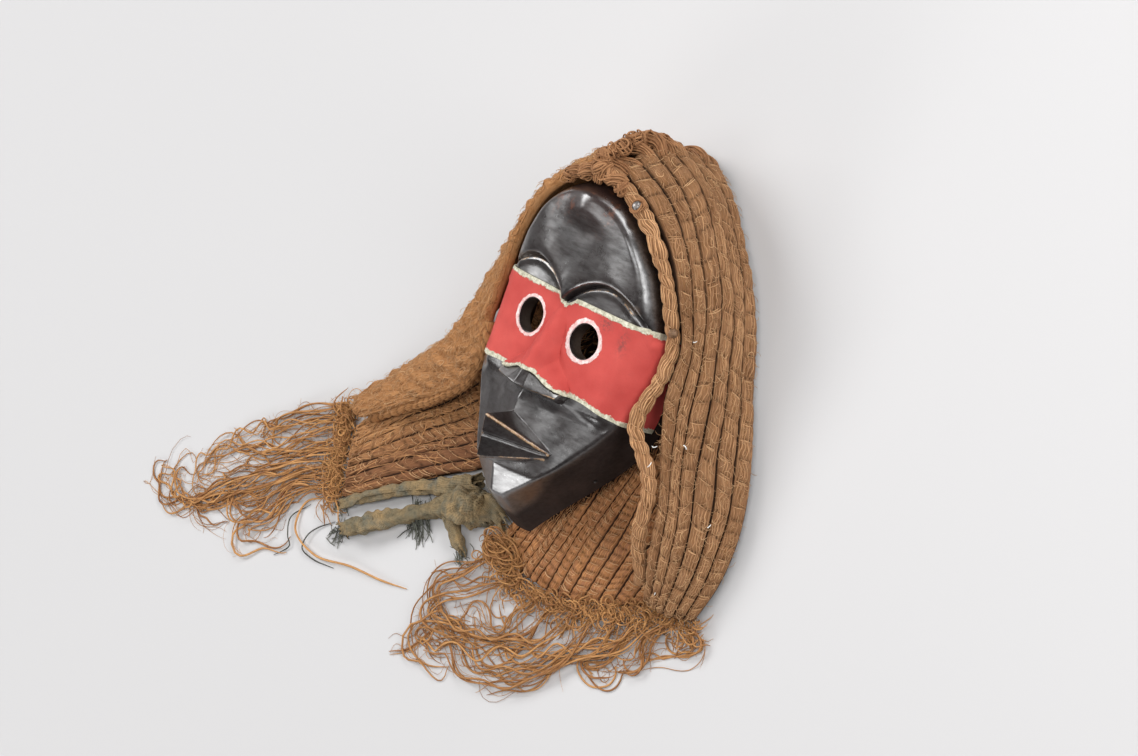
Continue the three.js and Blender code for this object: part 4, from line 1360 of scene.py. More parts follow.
# The thicker cord along the right front edge of the hood, from the crest to its free end.
EDGE_CORD = [
    [8, 114.5, 98], [17, 111, 95.5], [29.5, 105, 93], [43, 96.5, 90], [54, 86.5, 86], [62, 76, 81],
    [69, 64.5, 74.5], [73.5, 53, 69], [78, 40.5, 63.5], [82, 27, 57.5], [83, 11, 56], [82.5, -4.5, 57],
    [80.5, -17, 58.5], [79.5, -29, 58], [84, -38, 57], [91, -46, 53.5], [98, -55, 50], [103, -66, 46.5],
    [104, -78, 43], [103, -91, 39.5], [104, -104, 34], [107, -116, 27.5], [109.5, -128, 21],
]
EDGE_RADIUS = 5.7

# The lower edge of the left panel, rolled over on itself.
LEFT_ROLL = [
    [-83, -16, 53], [-84.5, -38, 46.5], [-97, -63.5, 36], [-117, -79, 30], [-139, -92.5, 23.5],
    [-166, -108, 18], [-196, -127, 12],
]
LEFT_ROLL_RADIUS = 4.6


class RoundCord:
    """One wrapped cord along a line."""

    def __init__(self, points, radius, seed, ring_gap=11.0):
        self.radius = radius
        rng = np.random.default_rng(seed)
        self.fine = spline(points, np.linspace(0, 1, 2000))
        self.walked = walk(self.fine)
        self.length = float(self.walked[-1])
        gaps = rng.uniform(0.7, 1.35, int(self.length / ring_gap * 1.8)) * ring_gap
        rings = np.cumsum(gaps) - 4
        self.rings = rings[rings < self.length - 3]
        self.knots = np.linspace(0, self.length, 60)
        self.girth = 1 + drift(rng, 1, self.knots, 11.0)[0] * 0.08
        self.slant = 3.0

    def line(self, s):
        """Points of the middle line, at distances along it."""
        return np.stack([np.interp(s, self.walked, self.fine[:, k]) for k in range(3)], axis=-1)

    def frames(self, s):
        """Two directions square to the cord."""
        tangent = unit(self.line(s + 1.5) - self.line(s - 1.5))
        side = unit(np.cross(tangent, np.broadcast_to([0.2, 0.1, 1.0], tangent.shape)))
        return side, np.cross(tangent, side)

    def from_ring(self, s, angle):
        """Distance along the cord to its nearest wrapping."""
        place = s + self.slant * np.cos(angle)
        k = np.clip(np.searchsorted(self.rings, place), 1, len(self.rings) - 1)
        return np.minimum(np.abs(place - self.rings[k - 1]), np.abs(place - self.rings[k]))

    def reach(self, s, angle):
        """Radius of the cord, which its wrappings pinch."""
        girth = np.interp(s, self.knots, self.girth)
        return self.radius * girth - 0.5 - 1.2 * bell(self.from_ring(s, angle) / PINCH_WIDTH)

    def at(self, s, angle, lift=0.0):
        """Points on the cord's surface, or a little over it."""
        side, other = self.frames(s)
        r = self.reach(s, angle) + lift
        out = side * np.cos(angle)[..., None] + other * np.sin(angle)[..., None]
        return self.line(s) + out * r[..., None]

    def build(self, name, finish, sides=26):
        """The cord as one piece."""
        rows = int(self.length / 1.3)
        s = np.repeat(np.linspace(0, self.length, rows), sides)
        angle = np.tile(np.arange(sides) * 2 * PI / sides, rows)
        points = self.at(s, angle)
        piece = new_piece(name, points, tube_faces(rows, sides), finish)
        run_map(piece, 40 + angle / PI, s)
        # Painted shade at the wrappings.
        paint(piece, "painted_shade", 0.55 * bell(self.from_ring(s, angle) / SHADE_WIDTH))
        face_outwards(piece)
        return piece

    def yarns(self, seed, around, thick):
        """The yarns that the cord is made of."""
        rng = np.random.default_rng(seed)
        s = np.arange(2, self.length - 2, 2.0)
        twist = 0.3 * drift(rng, 1, s, 9.0)[0]
        patch = 0.16 * drift(rng, 1, s, 25.0)[0]
        lines, tones = [], []
        for k in range(around):
            wave = 0.08 * drift(rng, 1, s, 3.5)[0]
            angle = 2 * PI * (k + rng.normal(0, 0.1)) / around + twist + wave
            lines.append(self.at(s, angle, -0.12))
            # Painted shade: yarns darker where a wrapping pinches them.
            wound = bell(self.from_ring(s, angle) / WOUND_WIDTH)
            tones.append(rng.normal(0.45, 0.2) + patch + 0.1 * drift(rng, 1, s, 6.0)[0] - 0.5 * wound)
        return lines, rng.uniform(*thick, around), np.clip(tones, 0, 1)

    def whipping(self, seed):
        """Thin threads wound around the cord at its rings."""
        rng = np.random.default_rng(seed)
        lines, tones, radii = [], [], []
        for place in self.rings:
            for turn in range(rng.integers(1, 3)):
                angle = np.linspace(0, 1.94 * PI, 17) + rng.uniform(0, 2 * PI)
                s = place - self.slant * np.cos(angle) + turn * 1.2 + rng.normal(0, 0.4)
                lines.append(self.at(np.clip(s, 1, self.length - 1), angle, 0.1))
                tones.append(rng.uniform(0.45, 1.0))
                radii.append(rng.uniform(0.22, 0.38))
        return lines, radii, tones


# Line along which the cord ends are knotted at the front of the crest, and the knots on its ridge.
CREST_FRONT = [
    [-34, 101, 91], [-20, 106.5, 95], [-8, 110.5, 97.5], [3, 112, 99], [13, 111, 97], [24, 106, 95],
]
CREST_RIDGE = [[0, 114, 97], [0, 123, 95], [0, 131, 89], [0, 138, 80], [0, 142, 68], [0, 143, 54],
               [0, 143, 40], [1, 143, 26], [2, 142, 13]]
BUNDLE_POINTS = 26
CREST_YARN = 0.6
STEEL_TACK = (38.9, 101.4, 97.4)
BROWN_TACK = (84.4, 34.4, 65.2)


def bundle(rng, path, radius, count, yarn):
    """A cord end: a core with yarns that run along it and turn slowly around it."""
    u = np.linspace(0, 1, BUNDLE_POINTS)
    line = spline(path, u)
    tangent = unit(np.gradient(line, axis=0))
    side = unit(np.cross(tangent, [0.3, 0.2, 0.93]))
    other = np.cross(tangent, side)
    swell = radius * (0.75 + 0.25 * np.sin(PI * u)) * (1 + 0.12 * np.sin(2 * PI * (2 * u + rng.random())))
    twist = rng.uniform(0.6, 1.4) * u * rng.choice([-1, 1])
    lines = [line]
    for k in range(count):
        angle = 2 * PI * (k + rng.normal(0, 0.2)) / count + twist
        offset = side * np.cos(angle)[:, None] + other * np.sin(angle)[:, None]
        lines.append(line + offset * swell[:, None])
    return lines, [radius * 0.86] + list(rng.uniform(0.8, 1.2, count) * yarn)


def knot(rng, centre, radius, turns, yarn):
    """A ball of yarns wound in two directions around a core."""
    t = np.linspace(-0.5, 0.5, BUNDLE_POINTS)[:, None]
    axes = unit(rng.normal(size=(2, 3)))
    lines = [centre + t * axes[0] * radius * 0.5]
    for k in range(turns):
        axis = axes[k % 2]
        first = unit(np.cross(axis, rng.normal(size=3)))
        second = np.cross(axis, first)
        level = rng.uniform(-0.8, 0.8)
        reach = radius * np.sqrt(1 - level**2)
        a = 2 * PI * t * rng.uniform(0.6, 1.0)
        lines.append(centre + axis * level * radius + reach * (np.cos(a) * first + np.sin(a) * second))
    return lines, [radius * 0.9] + list(rng.uniform(0.8, 1.2, turns) * yarn)


def crest_knots(right, left, finish):
    """Cord ends of both sides folded over and knotted along the crest."""
    rng = np.random.default_rng(31)
    lines, radii, tones = [], [], []

    def take(made, tone):
        """Adds a bundle or a knot: its core is darker than its yarns."""
        lines.extend(made[0])
        radii.extend(made[1])
        tones.extend([tone * 0.4] + list(np.clip(rng.normal(tone, 0.25, len(made[0]) - 1), 0, 1)))

    middle = np.array([0, 108, 50])
    for k in range(9):
        v = np.array([(k + 0.5) / 9])
        a = right.on_guides(np.array([0.03]), v)[0]
        b = left.on_guides(np.array([0.03]), np.clip(v + rng.normal(0, 0.04), 0, 1))[0]
        out = unit((a + b) / 2 - middle)
        over = out * 5 + rng.normal(0, 3, 3)
        path = [a + out * 1.5, a * 0.7 + b * 0.3 + over, a * 0.3 + b * 0.7 + over, b + out * 1.5]
        take(bundle(rng, path, rng.uniform(3.6, 4.6), 13, CREST_YARN), rng.uniform(0.05, 0.35))
    for at in CREST_RIDGE:
        centre = at + unit(at - middle) * 3.5 + rng.normal(0, 1.0, 3)
        take(knot(rng, centre, rng.uniform(5.2, 6.8), 20, CREST_YARN), rng.uniform(0.0, 0.3))
    for k in range(9):
        at = (k + 0.5) / 9
        centre = spline(CREST_FRONT, np.array([at]))[0]
        turn = rng.uniform(-1.2, 1.2)
        reach = np.array([np.cos(turn), np.sin(turn), -0.15]) * rng.uniform(7, 10)
        lift = np.array([0, 1.0, 2.5])
        path = [centre - reach, centre - reach * 0.3 + lift, centre + reach * 0.4 + lift, centre + reach]
        if k % 2:
            take(bundle(rng, path, rng.uniform(3.2, 4.4), 12, CREST_YARN), rng.uniform(0.1, 0.5))
        else:
            take(knot(rng, centre + lift * 0.4, rng.uniform(4.6, 6.0), 20, CREST_YARN), rng.uniform(0.1, 0.5))
    for _ in range(70):
        at = spline(CREST_FRONT, np.array([rng.random()]))[0]
        if rng.random() < 0.5:
            at = spline(CREST_RIDGE, np.array([rng.random() ** 1.5]))[0] + (0, 3, 4)
        lines.append(ring_of_cord(rng, at + rng.normal(0, 1.5, 3), rng.uniform(2.5, 6)))
        radii.append(rng.uniform(0.3, 0.6))
        tones.append(rng.uniform(0.0, 0.6))
    a = np.linspace(0, 1.9 * PI, BUNDLE_POINTS)
    for _ in range(7):
        reach = rng.uniform(3.6, 5.6)
        turn = a + rng.uniform(0, 1.5) * np.sin(a + rng.uniform(0, 6))
        z = rng.uniform(-1.4, 0.4) - 0.3 * reach * np.sin(a)
        lines.append(STEEL_TACK + np.stack([reach * np.cos(turn), reach * np.sin(turn), z], axis=1))
        radii.append(rng.uniform(0.35, 0.6))
        tones.append(rng.uniform(0.0, 0.6))
    lines = np.array(lines)
    lines[:, :, 2] = np.maximum(lines[:, :, 2], 3.0)
    return threads("crest_knot_yarns", (lines, radii, tones), finish, sides=6, taper=0.6)


def ring_of_cord(rng, centre, radius):
    """A slack loop of one yarn, turned any way."""
    a = np.linspace(0, 2 * PI * rng.uniform(0.75, 1.2), BUNDLE_POINTS)
    tilt, turn = rng.uniform(0, PI, 2)
    ring = np.stack([np.cos(a) * radius, np.sin(a) * radius * 0.75, 1.6 * np.sin(2 * a + turn)], axis=1)
    ct, st, cp, sp = np.cos(tilt), np.sin(tilt), np.cos(2 * turn), np.sin(2 * turn)
    spin = np.array([[cp, -sp * ct, sp * st], [sp, cp * ct, -cp * st], [0, st, ct]])
    return ring @ spin.T + centre


# ---- Fringes ----

# Hems from front to back, and the loose ends that hang from them, as they lie on the table.
LEFT_HEM = [[-231, -129, 5], [-225, -148, 5], [-216, -174, 5], [-206, -198, 5]]
LEFT_STRANDS = [
    [[-231, -130], [-251, -141], [-280, -157], [-300, -170], [-301, -177], [-293, -186]],
    [[-229, -138], [-260, -154], [-298, -176], [-319, -186], [-340, -206], [-348, -228], [-355, -256]],
    [[-227, -146], [-258, -163], [-290, -190], [-330, -204], [-360, -226], [-366, -240], [-345, -248]],
    [[-224, -154], [-262, -176], [-289, -196], [-330, -211], [-365, -229]],
    [[-221, -162], [-257, -182], [-300, -211], [-335, -232], [-365, -254]],
    [[-218, -170], [-262, -192], [-310, -223], [-353, -257], [-378, -262], [-386, -247], [-368, -240]],
    [[-217, -175], [-262, -200], [-314, -240], [-361, -264], [-392, -271], [-409, -262], [-405, -248]],
    [[-214, -180], [-254, -200], [-289, -236], [-330, -250], [-352, -262], [-336, -267], [-312, -258]],
    [[-212, -186], [-245, -204], [-264, -226], [-281, -244], [-307, -250], [-318, -238], [-304, -226]],
    [[-210, -192], [-250, -208], [-262, -236], [-285, -253], [-286, -263], [-262, -254], [-246, -236]],
]
DARK_STRAYS = [
    [[-232, -212], [-246, -229], [-240, -242], [-235, -248], [-248, -262]],
    [[-200, -213], [-214, -224], [-220, -233], [-220, -244], [-207, -247], [-182, -244]],
]
LEFT_STRAY = [
    [-208, -197], [-237, -212], [-236, -234], [-205, -243], [-165, -235], [-130, -231], [-104, -226],
]
RIGHT_HEM = [
    [-40, -170, 5], [-5, -178, 5], [32, -177, 5], [72, -166, 6], [110, -150, 8], [152, -142, 5],
]
RIGHT_STRANDS = [
    [[-38, -170], [-56, -190], [-74, -211], [-60, -230], [-42, -234], [-30, -242]],
    [[-10, -177], [-40, -200], [-66, -214], [-73, -232], [-50, -238], [-30, -230]],
    [[20, -178], [9, -194], [4, -212], [-16, -217], [-33, -211], [-38, -224], [-30, -232]],
    [[34, -177], [20, -205], [-8, -221], [-40, -230], [-60, -238], [-80, -262], [-94, -274]],
    [[56, -171], [40, -205], [10, -219], [-20, -233], [-55, -238], [-74, -250], [-58, -256], [-42, -246]],
    [[74, -166], [62, -205], [34, -233], [6, -245], [-22, -247], [-45, -236], [-63, -239]],
    [[92, -158], [80, -188], [50, -209], [31, -232], [6, -240], [-24, -242], [-50, -228]],
    [[106, -152], [96, -186], [76, -201], [90, -206], [103, -200], [106, -186]],
    [[120, -147], [104, -172], [70, -198], [40, -216], [14, -230], [-6, -236]],
    [[134, -144], [121, -166], [120, -180], [106, -188], [84, -190]],
    [[149, -142], [160, -148], [154, -158], [134, -164], [116, -170]],
]
ROOT_HEIGHT = 5
STRAND_POINTS = 48
HEM_FIBRES = 230
CORNER_CURLS = [[-40, -163, 8], [-34, -158, 9], [-26, -165, 9], [-18, -160, 9], [-10, -170, 7]]


def on_table(path, u):
    """Points of a smooth curve on the table."""
    return spline(np.c_[np.array(path, float), np.zeros(len(path))], u)[:, :2]


def lock(rng, path, count, spread, order):
    """Fibres of one loose cord end: they follow each other over the table and drift apart."""
    u = np.linspace(0, 1, STRAND_POINTS)
    lines = []
    for _ in range(count):
        reach = u * rng.uniform(0.35, 1.0) if rng.random() < 0.55 else u
        flat = on_table(path, reach)
        heading = unit(np.gradient(flat, axis=0))
        side = np.stack([-heading[:, 1], heading[:, 0]], axis=1)
        turns = walk(flat)[-1] / rng.uniform(28, 75)
        phase = rng.uniform(0, 2 * PI, 2)
        wave = rng.uniform(1.2, 6.5)
        off = rng.normal(0, 1.8) * (1 - u) + rng.normal(0, spread) * u**1.2
        off = off + wave * (np.sin(2 * PI * turns * u + phase[0]) - np.sin(phase[0])) * np.sqrt(u)
        flat = flat + side * off[:, None]
        if rng.random() < 0.25:
            bend = 2 * PI * rng.uniform(0.5, 1.1) * smooth_step(0.74, 1.0, u) * rng.choice([-1, 1])
            r = rng.uniform(3, 8)
            flat = flat + r * np.stack([np.cos(bend) - 1, np.sin(bend)], axis=1)
        hop = (3 + 3 * np.sin(1.7 * order)) * np.sin(PI * reach)
        hop = hop + rng.uniform(0, 4) * np.abs(np.sin(PI * turns * u + phase[1]))
        z = ROOT_HEIGHT * np.clip(1 - 2 * u, 0, 1) + hop * (1 - 0.6 * u)
        lines.append(np.c_[flat, z])
    return lines


def fringe(name, hem, strands, seed, finish):
    """Long yarns and finer fibres on the table, and short curly fibres along the hem."""
    rng = np.random.default_rng(seed)
    lines, radii, tones = [], [], []
    for order, path in enumerate(strands):
        tone = rng.normal(0.55, 0.15)
        for count, spread, thick in ((5, 8, (0.5, 0.95)), (6, 10, (0.15, 0.35))):
            lines += lock(rng, path, count, spread, order)
            radii += list(rng.uniform(*thick, count))
            dark = rng.random(count) < 0.2
            tones += list(np.where(dark, 0.05, np.clip(rng.normal(tone, 0.25, count), 0, 1)))
    for _ in range(HEM_FIBRES):
        at = rng.random()
        root = spline(hem, np.array([at]))[0] + rng.normal(0, 2.5, 3) * (1, 1, 0.4)
        path = strands[min(int(at * len(strands)), len(strands) - 1)]
        heading = np.array(path[1], float) - path[0]
        angle = np.arctan2(heading[1], heading[0]) + rng.normal(0, 0.9)
        length = rng.uniform(8, 34)
        t = np.linspace(0, 1, STRAND_POINTS)
        curl = angle + rng.normal(0, 1.6) * t * 2
        curl = curl + rng.uniform(0.2, 0.9) * np.sin(2 * PI * t * rng.uniform(0.5, 2))
        step = length / STRAND_POINTS
        flat = root[:2] + np.cumsum(np.stack([np.cos(curl), np.sin(curl)], axis=1) * step, axis=0)
        z = root[2] * (1 - t) + rng.uniform(0, 7) * np.sin(PI * t)
        lines.append(np.c_[flat, z])
        radii.append(rng.uniform(0.2, 0.6))
        tones.append(rng.uniform(0.1, 1.0))
    lines = np.array(lines)
    radii = np.array(radii)
    lines[:, :, 2] = np.maximum(lines[:, :, 2], radii[:, None] + 0.1)
    return threads(name, (lines, radii, tones), finish, sides=5, taper=0.3), lines


def fuzz(name, lines, seed, count, finish):
    """Fine broken fibres that stand off the loose yarns."""
    rng = np.random.default_rng(seed)
    which = rng.integers(0, len(lines), count)
    root = lines[which, rng.integers(1, lines.shape[1] - 1, count)]
    t = np.linspace(0, 1, 6)
    angle = rng.uniform(0, 2 * PI, (count, 1)) + rng.normal(0, 1.2, (count, 1)) * t
    length = rng.uniform(2.5, 11, (count, 1))
    x = root[:, :1] + np.cumsum(np.cos(angle), axis=1) * length / 6
    y = root[:, 1:2] + np.cumsum(np.sin(angle), axis=1) * length / 6
    z = np.maximum(root[:, 2:] + rng.uniform(-0.2, 0.5, (count, 1)) * length * t, 0.3)
    radii = rng.uniform(0.07, 0.15, count)
    tones = rng.uniform(0.4, 1, count)
    return threads(name, (np.stack([x, y, z], axis=2), radii, tones), finish, sides=3)


def strays(name, paths, radius, tones, finish):
    """Single threads that lie by themselves on the table."""
    u = np.linspace(0, 1, STRAND_POINTS)
    lines = [np.c_[on_table(path, u), 0.9 + 2.2 * np.sin(PI * u) ** 2] for path in paths]
    return threads(name, (lines, radius, tones), finish, sides=6, taper=0.4)


# White flecks of lint caught between the cords: place and heading in degrees.
LINT = [
    (101, 35, 61, 30), (101, -39, 56, 20), (123, -29, 54, 160), (155, -70, 38, 60), (126, -128, 24, 100),
    (103, -51, 55, 70),
]
LINT_TONE = 2.0


def lint(name, finish):
    """Short bent flecks, which the thread material shows white."""
    rng = np.random.default_rng(91)
    t = np.linspace(-0.5, 0.5, 6)
    lines = []
    for x, y, z, heading in LINT:
        angle = np.radians(heading) + 0.8 * t
        reach = t * rng.uniform(3, 5)
        rise = 0.6 * np.cos(PI * t)
        lines.append(np.stack([x + np.cos(angle) * reach, y + np.sin(angle) * reach, z + rise], axis=1))
    return threads(name, (lines, 0.4, [LINT_TONE] * len(LINT)), finish)


def hem_tufts(name, hem, seed, count, finish, size=(2, 6), shift=(0, 0, 0)):
    """Knotted and curled ends right at the hem, where each cord was tied off."""
    rng = np.random.default_rng(seed)
    lines, radii = [], []
    t = np.linspace(0, 1, 18)
    for _ in range(count):
        root = spline(hem, np.array([rng.random()]))[0]
        centre = root + rng.normal(0, 2.6, 3) * (1, 1, 0.5) + shift
        r = rng.uniform(*size)
        a = rng.uniform(0, 2 * PI) + t * rng.uniform(2.5, 6.5)
        tilt = rng.uniform(-1.1, 1.1)
        x, y = np.cos(a) * r, np.sin(a) * r
        line = centre + np.stack([x, y * np.cos(tilt), y * np.sin(tilt) * 0.8], axis=1)
        line[:, 2] = np.maximum(line[:, 2], 0.9)
        lines.append(line)
        radii.append(rng.uniform(0.2, 0.7))
    piece = threads(name, (lines, radii, rng.uniform(0, 0.8, count)), finish, taper=0.4)
    return fit_on(piece, "loose_fibre")


# ---- The cloth strip ----

# Lines along the rolled cloth: place and radius.
RAG_ROLL = [
    [-185, -214, 6, 5.5], [-172, -206, 8.5, 8], [-154, -194, 9, 8.5], [-132, -180, 7, 6.5],
    [-112, -167, 7, 6.5], [-94, -156, 10, 9.5], [-78, -149, 15, 14], [-61, -143, 15.5, 15],
    [-46, -143, 9, 8],
]
RAG_TAIL = [[-76, -148, 12, 10], [-84, -158, 9, 7.5], [-77, -169, 6, 5.5], [-65, -179, 4, 4.2]]
RAG_BACK = [
    [-197, -197, 4, 4], [-182, -187, 5, 5], [-159, -173, 6, 5.4], [-136, -160, 6, 5.6], [-112, -149, 7, 6.5],
    [-90, -139, 9, 8.5], [-70, -130, 10, 9.5],
]
RAG_FLAP = [[-62, -137, 12, 9], [-48, -137, 11, 10], [-34, -143, 7, 7]]


def cloth_roll(name, stations, turns, seed, finish, *nodes, rows=110, columns=76, ragged=3.0):
    """A strip of cloth rolled loosely on itself, with folds that wander along it, and the width
    and length that it has laid flat."""
    rng = np.random.default_rng(seed)
    stations = np.array(stations, float)
    u = np.linspace(0, 1, rows)
    centre = spline(stations[:, :3], u)
    radius = np.interp(u, np.linspace(0, 1, len(stations)), stations[:, 3])
    tangent = unit(np.gradient(centre, axis=0))
    side = unit(np.cross([0, 0, 1.0], tangent))
    w = np.linspace(0, 1, columns)
    points = np.empty((rows, columns, 3))
    walked = walk(centre)
    phase = drift(rng, 3, walked, 30.0)
    end_shift = drift(rng, 1, w * 100, 5.0)[0] * ragged
    for k in range(rows):
        a = 2 * PI * turns * w + 0.7 * phase[0, k] + 0.6
        fold = 1 + 0.14 * np.sin(3 * a + 1.5 * phase[1, k]) + 0.07 * np.sin(8 * a + 2 * phase[2, k])
        fold = fold + 0.17 * ripples(seed, np.full(columns, walked[k]), a * radius[k], 12)
        r = radius[k] * (0.5 + 0.46 * w) * fold
        push = end_shift * (smooth_step(0.06, 0, u[k]) - smooth_step(0.94, 1, u[k]))
        points[k] = centre[k] + np.outer(np.cos(a) * r, side[k]) + tangent[k] * push[:, None]
        points[k, :, 2] = np.maximum(centre[k, 2] + 0.9 * np.sin(a) * r, 0.6)
    faces = []
    for k in range(rows - 1):
        for i in range(columns - 1):
            a = k * columns + i
            faces.append([a, a + 1, a + columns + 1, a + columns])
    piece = new_piece(name, points.reshape(-1, 3), faces, finish)
    width = float(np.linalg.norm(np.diff(points, axis=1), axis=2).sum(axis=1).mean())
    run_map(piece, np.tile(w, rows) * width, np.repeat(walked, columns))
    thicken(piece, CLOTH, 0)
    co = mesh_points(piece)
    co[:, 2] = np.maximum(co[:, 2], 0.1 * MM)
    move_points(piece, co)
    return fit_on(piece, "rag_cloth", *nodes), width, float(walked[-1])


def frayed_ends(name, at, heading, count, reach, seed, finish, tone):
    """Threads that have worked loose at a torn end. The heading is in degrees."""
    rng = np.random.default_rng(seed)
    t = np.linspace(0, 1, 12)
    lines = []
    for _ in range(count):
        root = np.array(at) + rng.normal(0, 1, 3) * (4.5, 4.5, 1.8)
        angle = np.radians(heading) + rng.normal(0, 0.5)
        length = rng.uniform(0.4, 1) * reach
        forward = np.array([np.cos(angle), np.sin(angle)])
        side = np.array([-forward[1], forward[0]])
        wave = rng.uniform(0.5, 3) * np.sin(PI * t * rng.uniform(1, 2.4) + rng.uniform(0, 6))
        flat = root[:2] + np.outer(length * t, forward) + np.outer((wave - wave[0]) * t, side)
        z = np.maximum(root[2] * (1 - t) ** 1.5, 0) + 0.6
        lines.append(np.c_[flat, z])
    tones = np.clip(rng.normal(tone, 0.25, count), 0, 1)
    piece = threads(name, (lines, rng.uniform(0.2, 0.45, count), tones), finish)
    return fit_on(piece, "rag_cloth")


# ---- Tacks ----

def tack(name, place, outward, finish):
    """Domed head of a tack, with a thin rim."""
    deselect()
    bpy.ops.mesh.primitive_uv_sphere_add(segments=28, ring_count=16, radius=TACK_RADIUS * MM)
    dome = bpy.context.active_object
    dome.name = dome.data.name = name
    co = mesh_points(dome)
    low = co[:, 2] < 0
    co[low, 2] = -0.02 * MM
    co[:, 2] *= 0.55
    rim = np.abs(co[:, 2]) < 0.1 * MM
    co[rim, :2] *= 1.06
    turn = Vector((0, 0, 1)).rotation_difference(Vector(outward)).to_matrix()
    co = co @ np.array(turn).T + np.array(place) * MM
    move_points(dome, co)
    surface_with(dome, finish, 50)
    return dome


# ---- Putting it together ----

photo_camera()
studio()

deselect()
bpy.ops.mesh.primitive_plane_add(size=TABLE_SIZE, location=(0, 0, 0))
floor = bpy.context.active_object
floor.name = "table_top"
floor.data.materials.append(pale_floor())

mask = fit_on(carve_mask(black_wood()), "carved_wood", "wooden_mask")
band = fit_on(lay_band(red_cotton()), "red_cloth", "red_eye_band")

# Cords: pale, deep and dusty colour. Threads: pale and deep colour.
tan_cord = cord_fibre("tan_cord", (0.32, 0.16, 0.07), (0.15, 0.066, 0.026), (0.27, 0.148, 0.08))
inner_cord = cord_fibre("inner_cord", (0.5, 0.23, 0.085), (0.25, 0.095, 0.032), (0.38, 0.18, 0.1))
brown_cord = cord_fibre("brown_cord", (0.5, 0.245, 0.1), (0.28, 0.12, 0.045), (0.38, 0.2, 0.095))
matted_cord = cord_fibre("matted_cord", (0.5, 0.24, 0.095), (0.3, 0.13, 0.045), (0.4, 0.21, 0.095))
stitch_yarn = thread_fibre("stitch_yarn", (0.7, 0.44, 0.23), (0.34, 0.17, 0.075))
raw_fibre = thread_fibre("raw_fibre", (0.66, 0.35, 0.13), (0.2, 0.075, 0.028))
side_yarn = thread_fibre("side_yarn", (0.53, 0.295, 0.145), (0.18, 0.08, 0.033))
cord_yarn = thread_fibre("cord_yarn", (0.84, 0.49, 0.25), (0.28, 0.13, 0.055))
inner_yarn = thread_fibre("inner_yarn", (0.76, 0.39, 0.17), (0.3, 0.12, 0.045))
brown_yarn = thread_fibre("brown_yarn", (0.62, 0.32, 0.13), (0.15, 0.058, 0.026))
knot_yarn = thread_fibre("knot_yarn", (0.52, 0.27, 0.125), (0.2, 0.085, 0.034))
matted_yarn = thread_fibre("matted_yarn", (0.55, 0.28, 0.115), (0.26, 0.115, 0.04))
dark_thread = thread_fibre("dark_thread", (0.2, 0.21, 0.17), (0.03, 0.026, 0.022))

# Panels of the hood: guide lines, number of cords, side that faces out, and seed.
right_side = CordMat(RIGHT_SIDE, 6, -1, 11, pinch=1.4)
left_side = CordMat(LEFT_SIDE, 8, 1, 12, relief=0.9, groove=3.2, pinch=0.1, lumps=1.1)
right_back = CordMat(RIGHT_BACK, 16, 1, 13, relief=3.6, groove=0.4, pinch=1.5, ring_gap=5.6, even=0.12)
left_back = CordMat(LEFT_BACK, 9, -1, 14, relief=2.2, groove=2.0, pinch=0.8, ring_gap=7.0, even=0.2)

hood_right = fit_on(right_side.build("hood_right_cords", tan_cord), "hood_cord", "hood_right_side")
hood_left = fit_on(left_side.build("hood_left_cords", matted_cord, 1.6, 10), "hood_cord", "hood_left_side")
under_right = right_back.build("hood_inner_right_cords", inner_cord, 1.7, 12, 2)
fit_on(under_right, "hood_cord", "hood_right_back")
under_left = left_back.build("hood_inner_left_cords", brown_cord, 1.7, 12, 2, far_darkening=1)
fit_on(under_left, "hood_cord", "hood_left_back")

edge = RoundCord(EDGE_CORD, EDGE_RADIUS, 21)
edge_piece = fit_on(edge.build("hood_edge_cord_wrapped", tan_cord), "hood_cord", "hood_edge_cord")

# Threads of the hood: the number after a mat is the seed of its random draws.
for mat, seed, loops in ((right_side, 41, 70), (right_back, 43, 60), (left_back, 44, 60)):
    wound, slack = whipping(mat, seed), curls(mat, seed + 10, loops)
    sew_on(f"stitches_{seed}", [a + b for a, b in zip(wound, slack)], stitch_yarn)
sew_on("stitches_left", curls(left_side, 55, 160), stitch_yarn)
sew_on("stitches_edge", edge.whipping(47), stitch_yarn)
rolled_edge = RoundCord(LEFT_ROLL, LEFT_ROLL_RADIUS, 23, 8.0)
roll_piece = fit_on(rolled_edge.build("hood_left_rolled_edge", matted_cord), "hood_cord")
sew_on("yarns_left_roll", rolled_edge.yarns(60, 12, (0.4, 0.7)), matted_yarn, taper=0.4)
sew_on("yarns_51", yarns(right_side, 51, 8, (0.42, 0.62), 0.0, 2.0), side_yarn, taper=0.4)
sew_on("yarns_53", yarns(right_back, 53, 6, (0.35, 0.5), 0.42, 1.4), inner_yarn, taper=0.4)
sew_on("yarns_edge", edge.yarns(57, 18, (0.42, 0.62)), cord_yarn, taper=0.4)
sew_on("felted_yarns_left", felted_yarns(left_side, 58, 2000, 16, (0.3, 0.6)), matted_yarn, taper=0.4)
sew_on("felted_yarns_inner", felted_yarns(left_back, 59, 2200, 16, (0.3, 0.6), 1.0), brown_yarn, taper=0.4)
hairy = (right_side, 61, 1500), (left_side, 62, 1700), (right_back, 63, 700), (left_back, 64, 700)
for mat, seed, count in hairy:
    sew_on(f"hairs_{seed}", hairs(mat, seed, count), stitch_yarn, sides=3)

fit_on(crest_knots(right_side, left_side, knot_yarn), "hood_cord", "crest_knots")

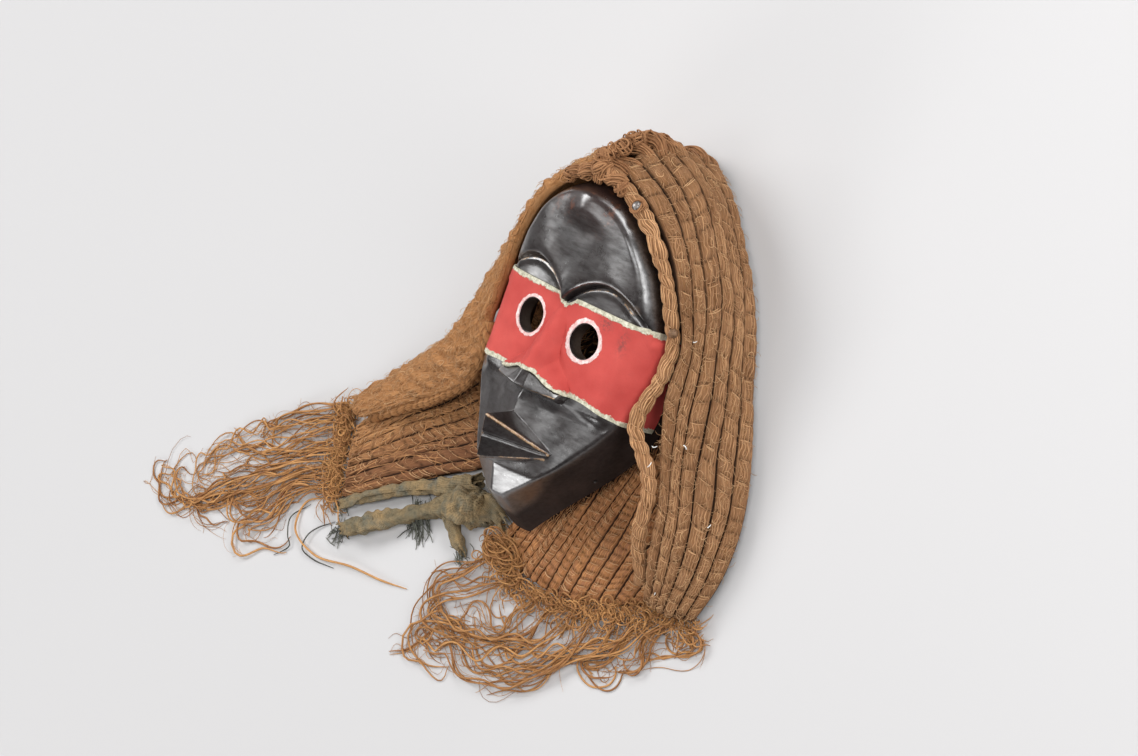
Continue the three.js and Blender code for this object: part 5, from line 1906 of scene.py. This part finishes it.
left_fringe, left_lines = fringe("left_loose_ends", LEFT_HEM, LEFT_STRANDS, 71, raw_fibre)
fit_on(left_fringe, "loose_fibre", "left_fringe")
right_fringe, right_lines = fringe("right_loose_ends", RIGHT_HEM, RIGHT_STRANDS, 73, raw_fibre)
fit_on(right_fringe, "loose_fibre", "right_fringe")
fit_on(fuzz("left_fuzz", left_lines, 78, 900, raw_fibre), "loose_fibre")
fit_on(fuzz("right_fuzz", right_lines, 79, 1000, raw_fibre), "loose_fibre")
fit_on(strays("long_stray", [LEFT_STRAY], 0.85, [0.9], raw_fibre), "loose_fibre")
fit_on(strays("dark_strays", DARK_STRAYS, 0.55, [0.1, 0.0], dark_thread), "loose_fibre")
fit_on(lint("lint", stitch_yarn), "hood_cord")
hem_tufts("left_hem_tufts", LEFT_HEM, 75, 130, raw_fibre)
hem_tufts("right_hem_tufts", RIGHT_HEM, 76, 300, raw_fibre, shift=(0, 3.5, 1))
hem_tufts("corner_curls", CORNER_CURLS, 77, 90, raw_fibre, size=(5, 12))

# The strip of cloth: each roll with its number of turns, each frayed end with its place, heading,
# number of threads and their reach.
old_cloth = old_cotton()
roll, roll_width, roll_length = cloth_roll("rag_roll", RAG_ROLL, 1.7, 81, old_cloth, "cloth_strip")
tail, tail_width, tail_length = cloth_roll("rag_tail", RAG_TAIL, 1.2, 82, old_cloth, rows=40, columns=50)
frays = frayed_ends("rag_frayed_end", (-186, -214, 5), 205, 50, 16, 83, dark_thread, 0.6)
tassel = frayed_ends("rag_tassel", (-118, -168, 7), 262, 70, 28, 84, dark_thread, 0.45)
back_fold, back_width, back_length = cloth_roll(
    "rag_back_fold", RAG_BACK, 1.3, 85, old_cloth, rows=80, columns=50, ragged=5
)
flap, flap_width, flap_length = cloth_roll(
    "rag_flap", RAG_FLAP, 0.55, 86, old_cloth, rows=30, columns=30, ragged=4
)
frayed_ends("rag_fray_87", (-66, -179, 4), 290, 26, 9, 87, dark_thread, 0.9)
frayed_ends("rag_fray_88", (-196, -196, 5), 205, 24, 10, 88, dark_thread, 0.9)

steel = tack_metal("tack_steel", (0.3, 0.28, 0.27), (0.16, 0.13, 0.11), 0.85)
rust = tack_metal("tack_rust", (0.2, 0.11, 0.055), (0.09, 0.045, 0.022), 0.35)
fit_on(tack("steel_tack_head", STEEL_TACK, (0.15, 0.3, 1), steel), "steel", "steel_tack")
fit_on(tack("brown_tack_head", BROWN_TACK, (0.7, 0.1, 0.75), rust), "rusty_iron", "brown_tack")
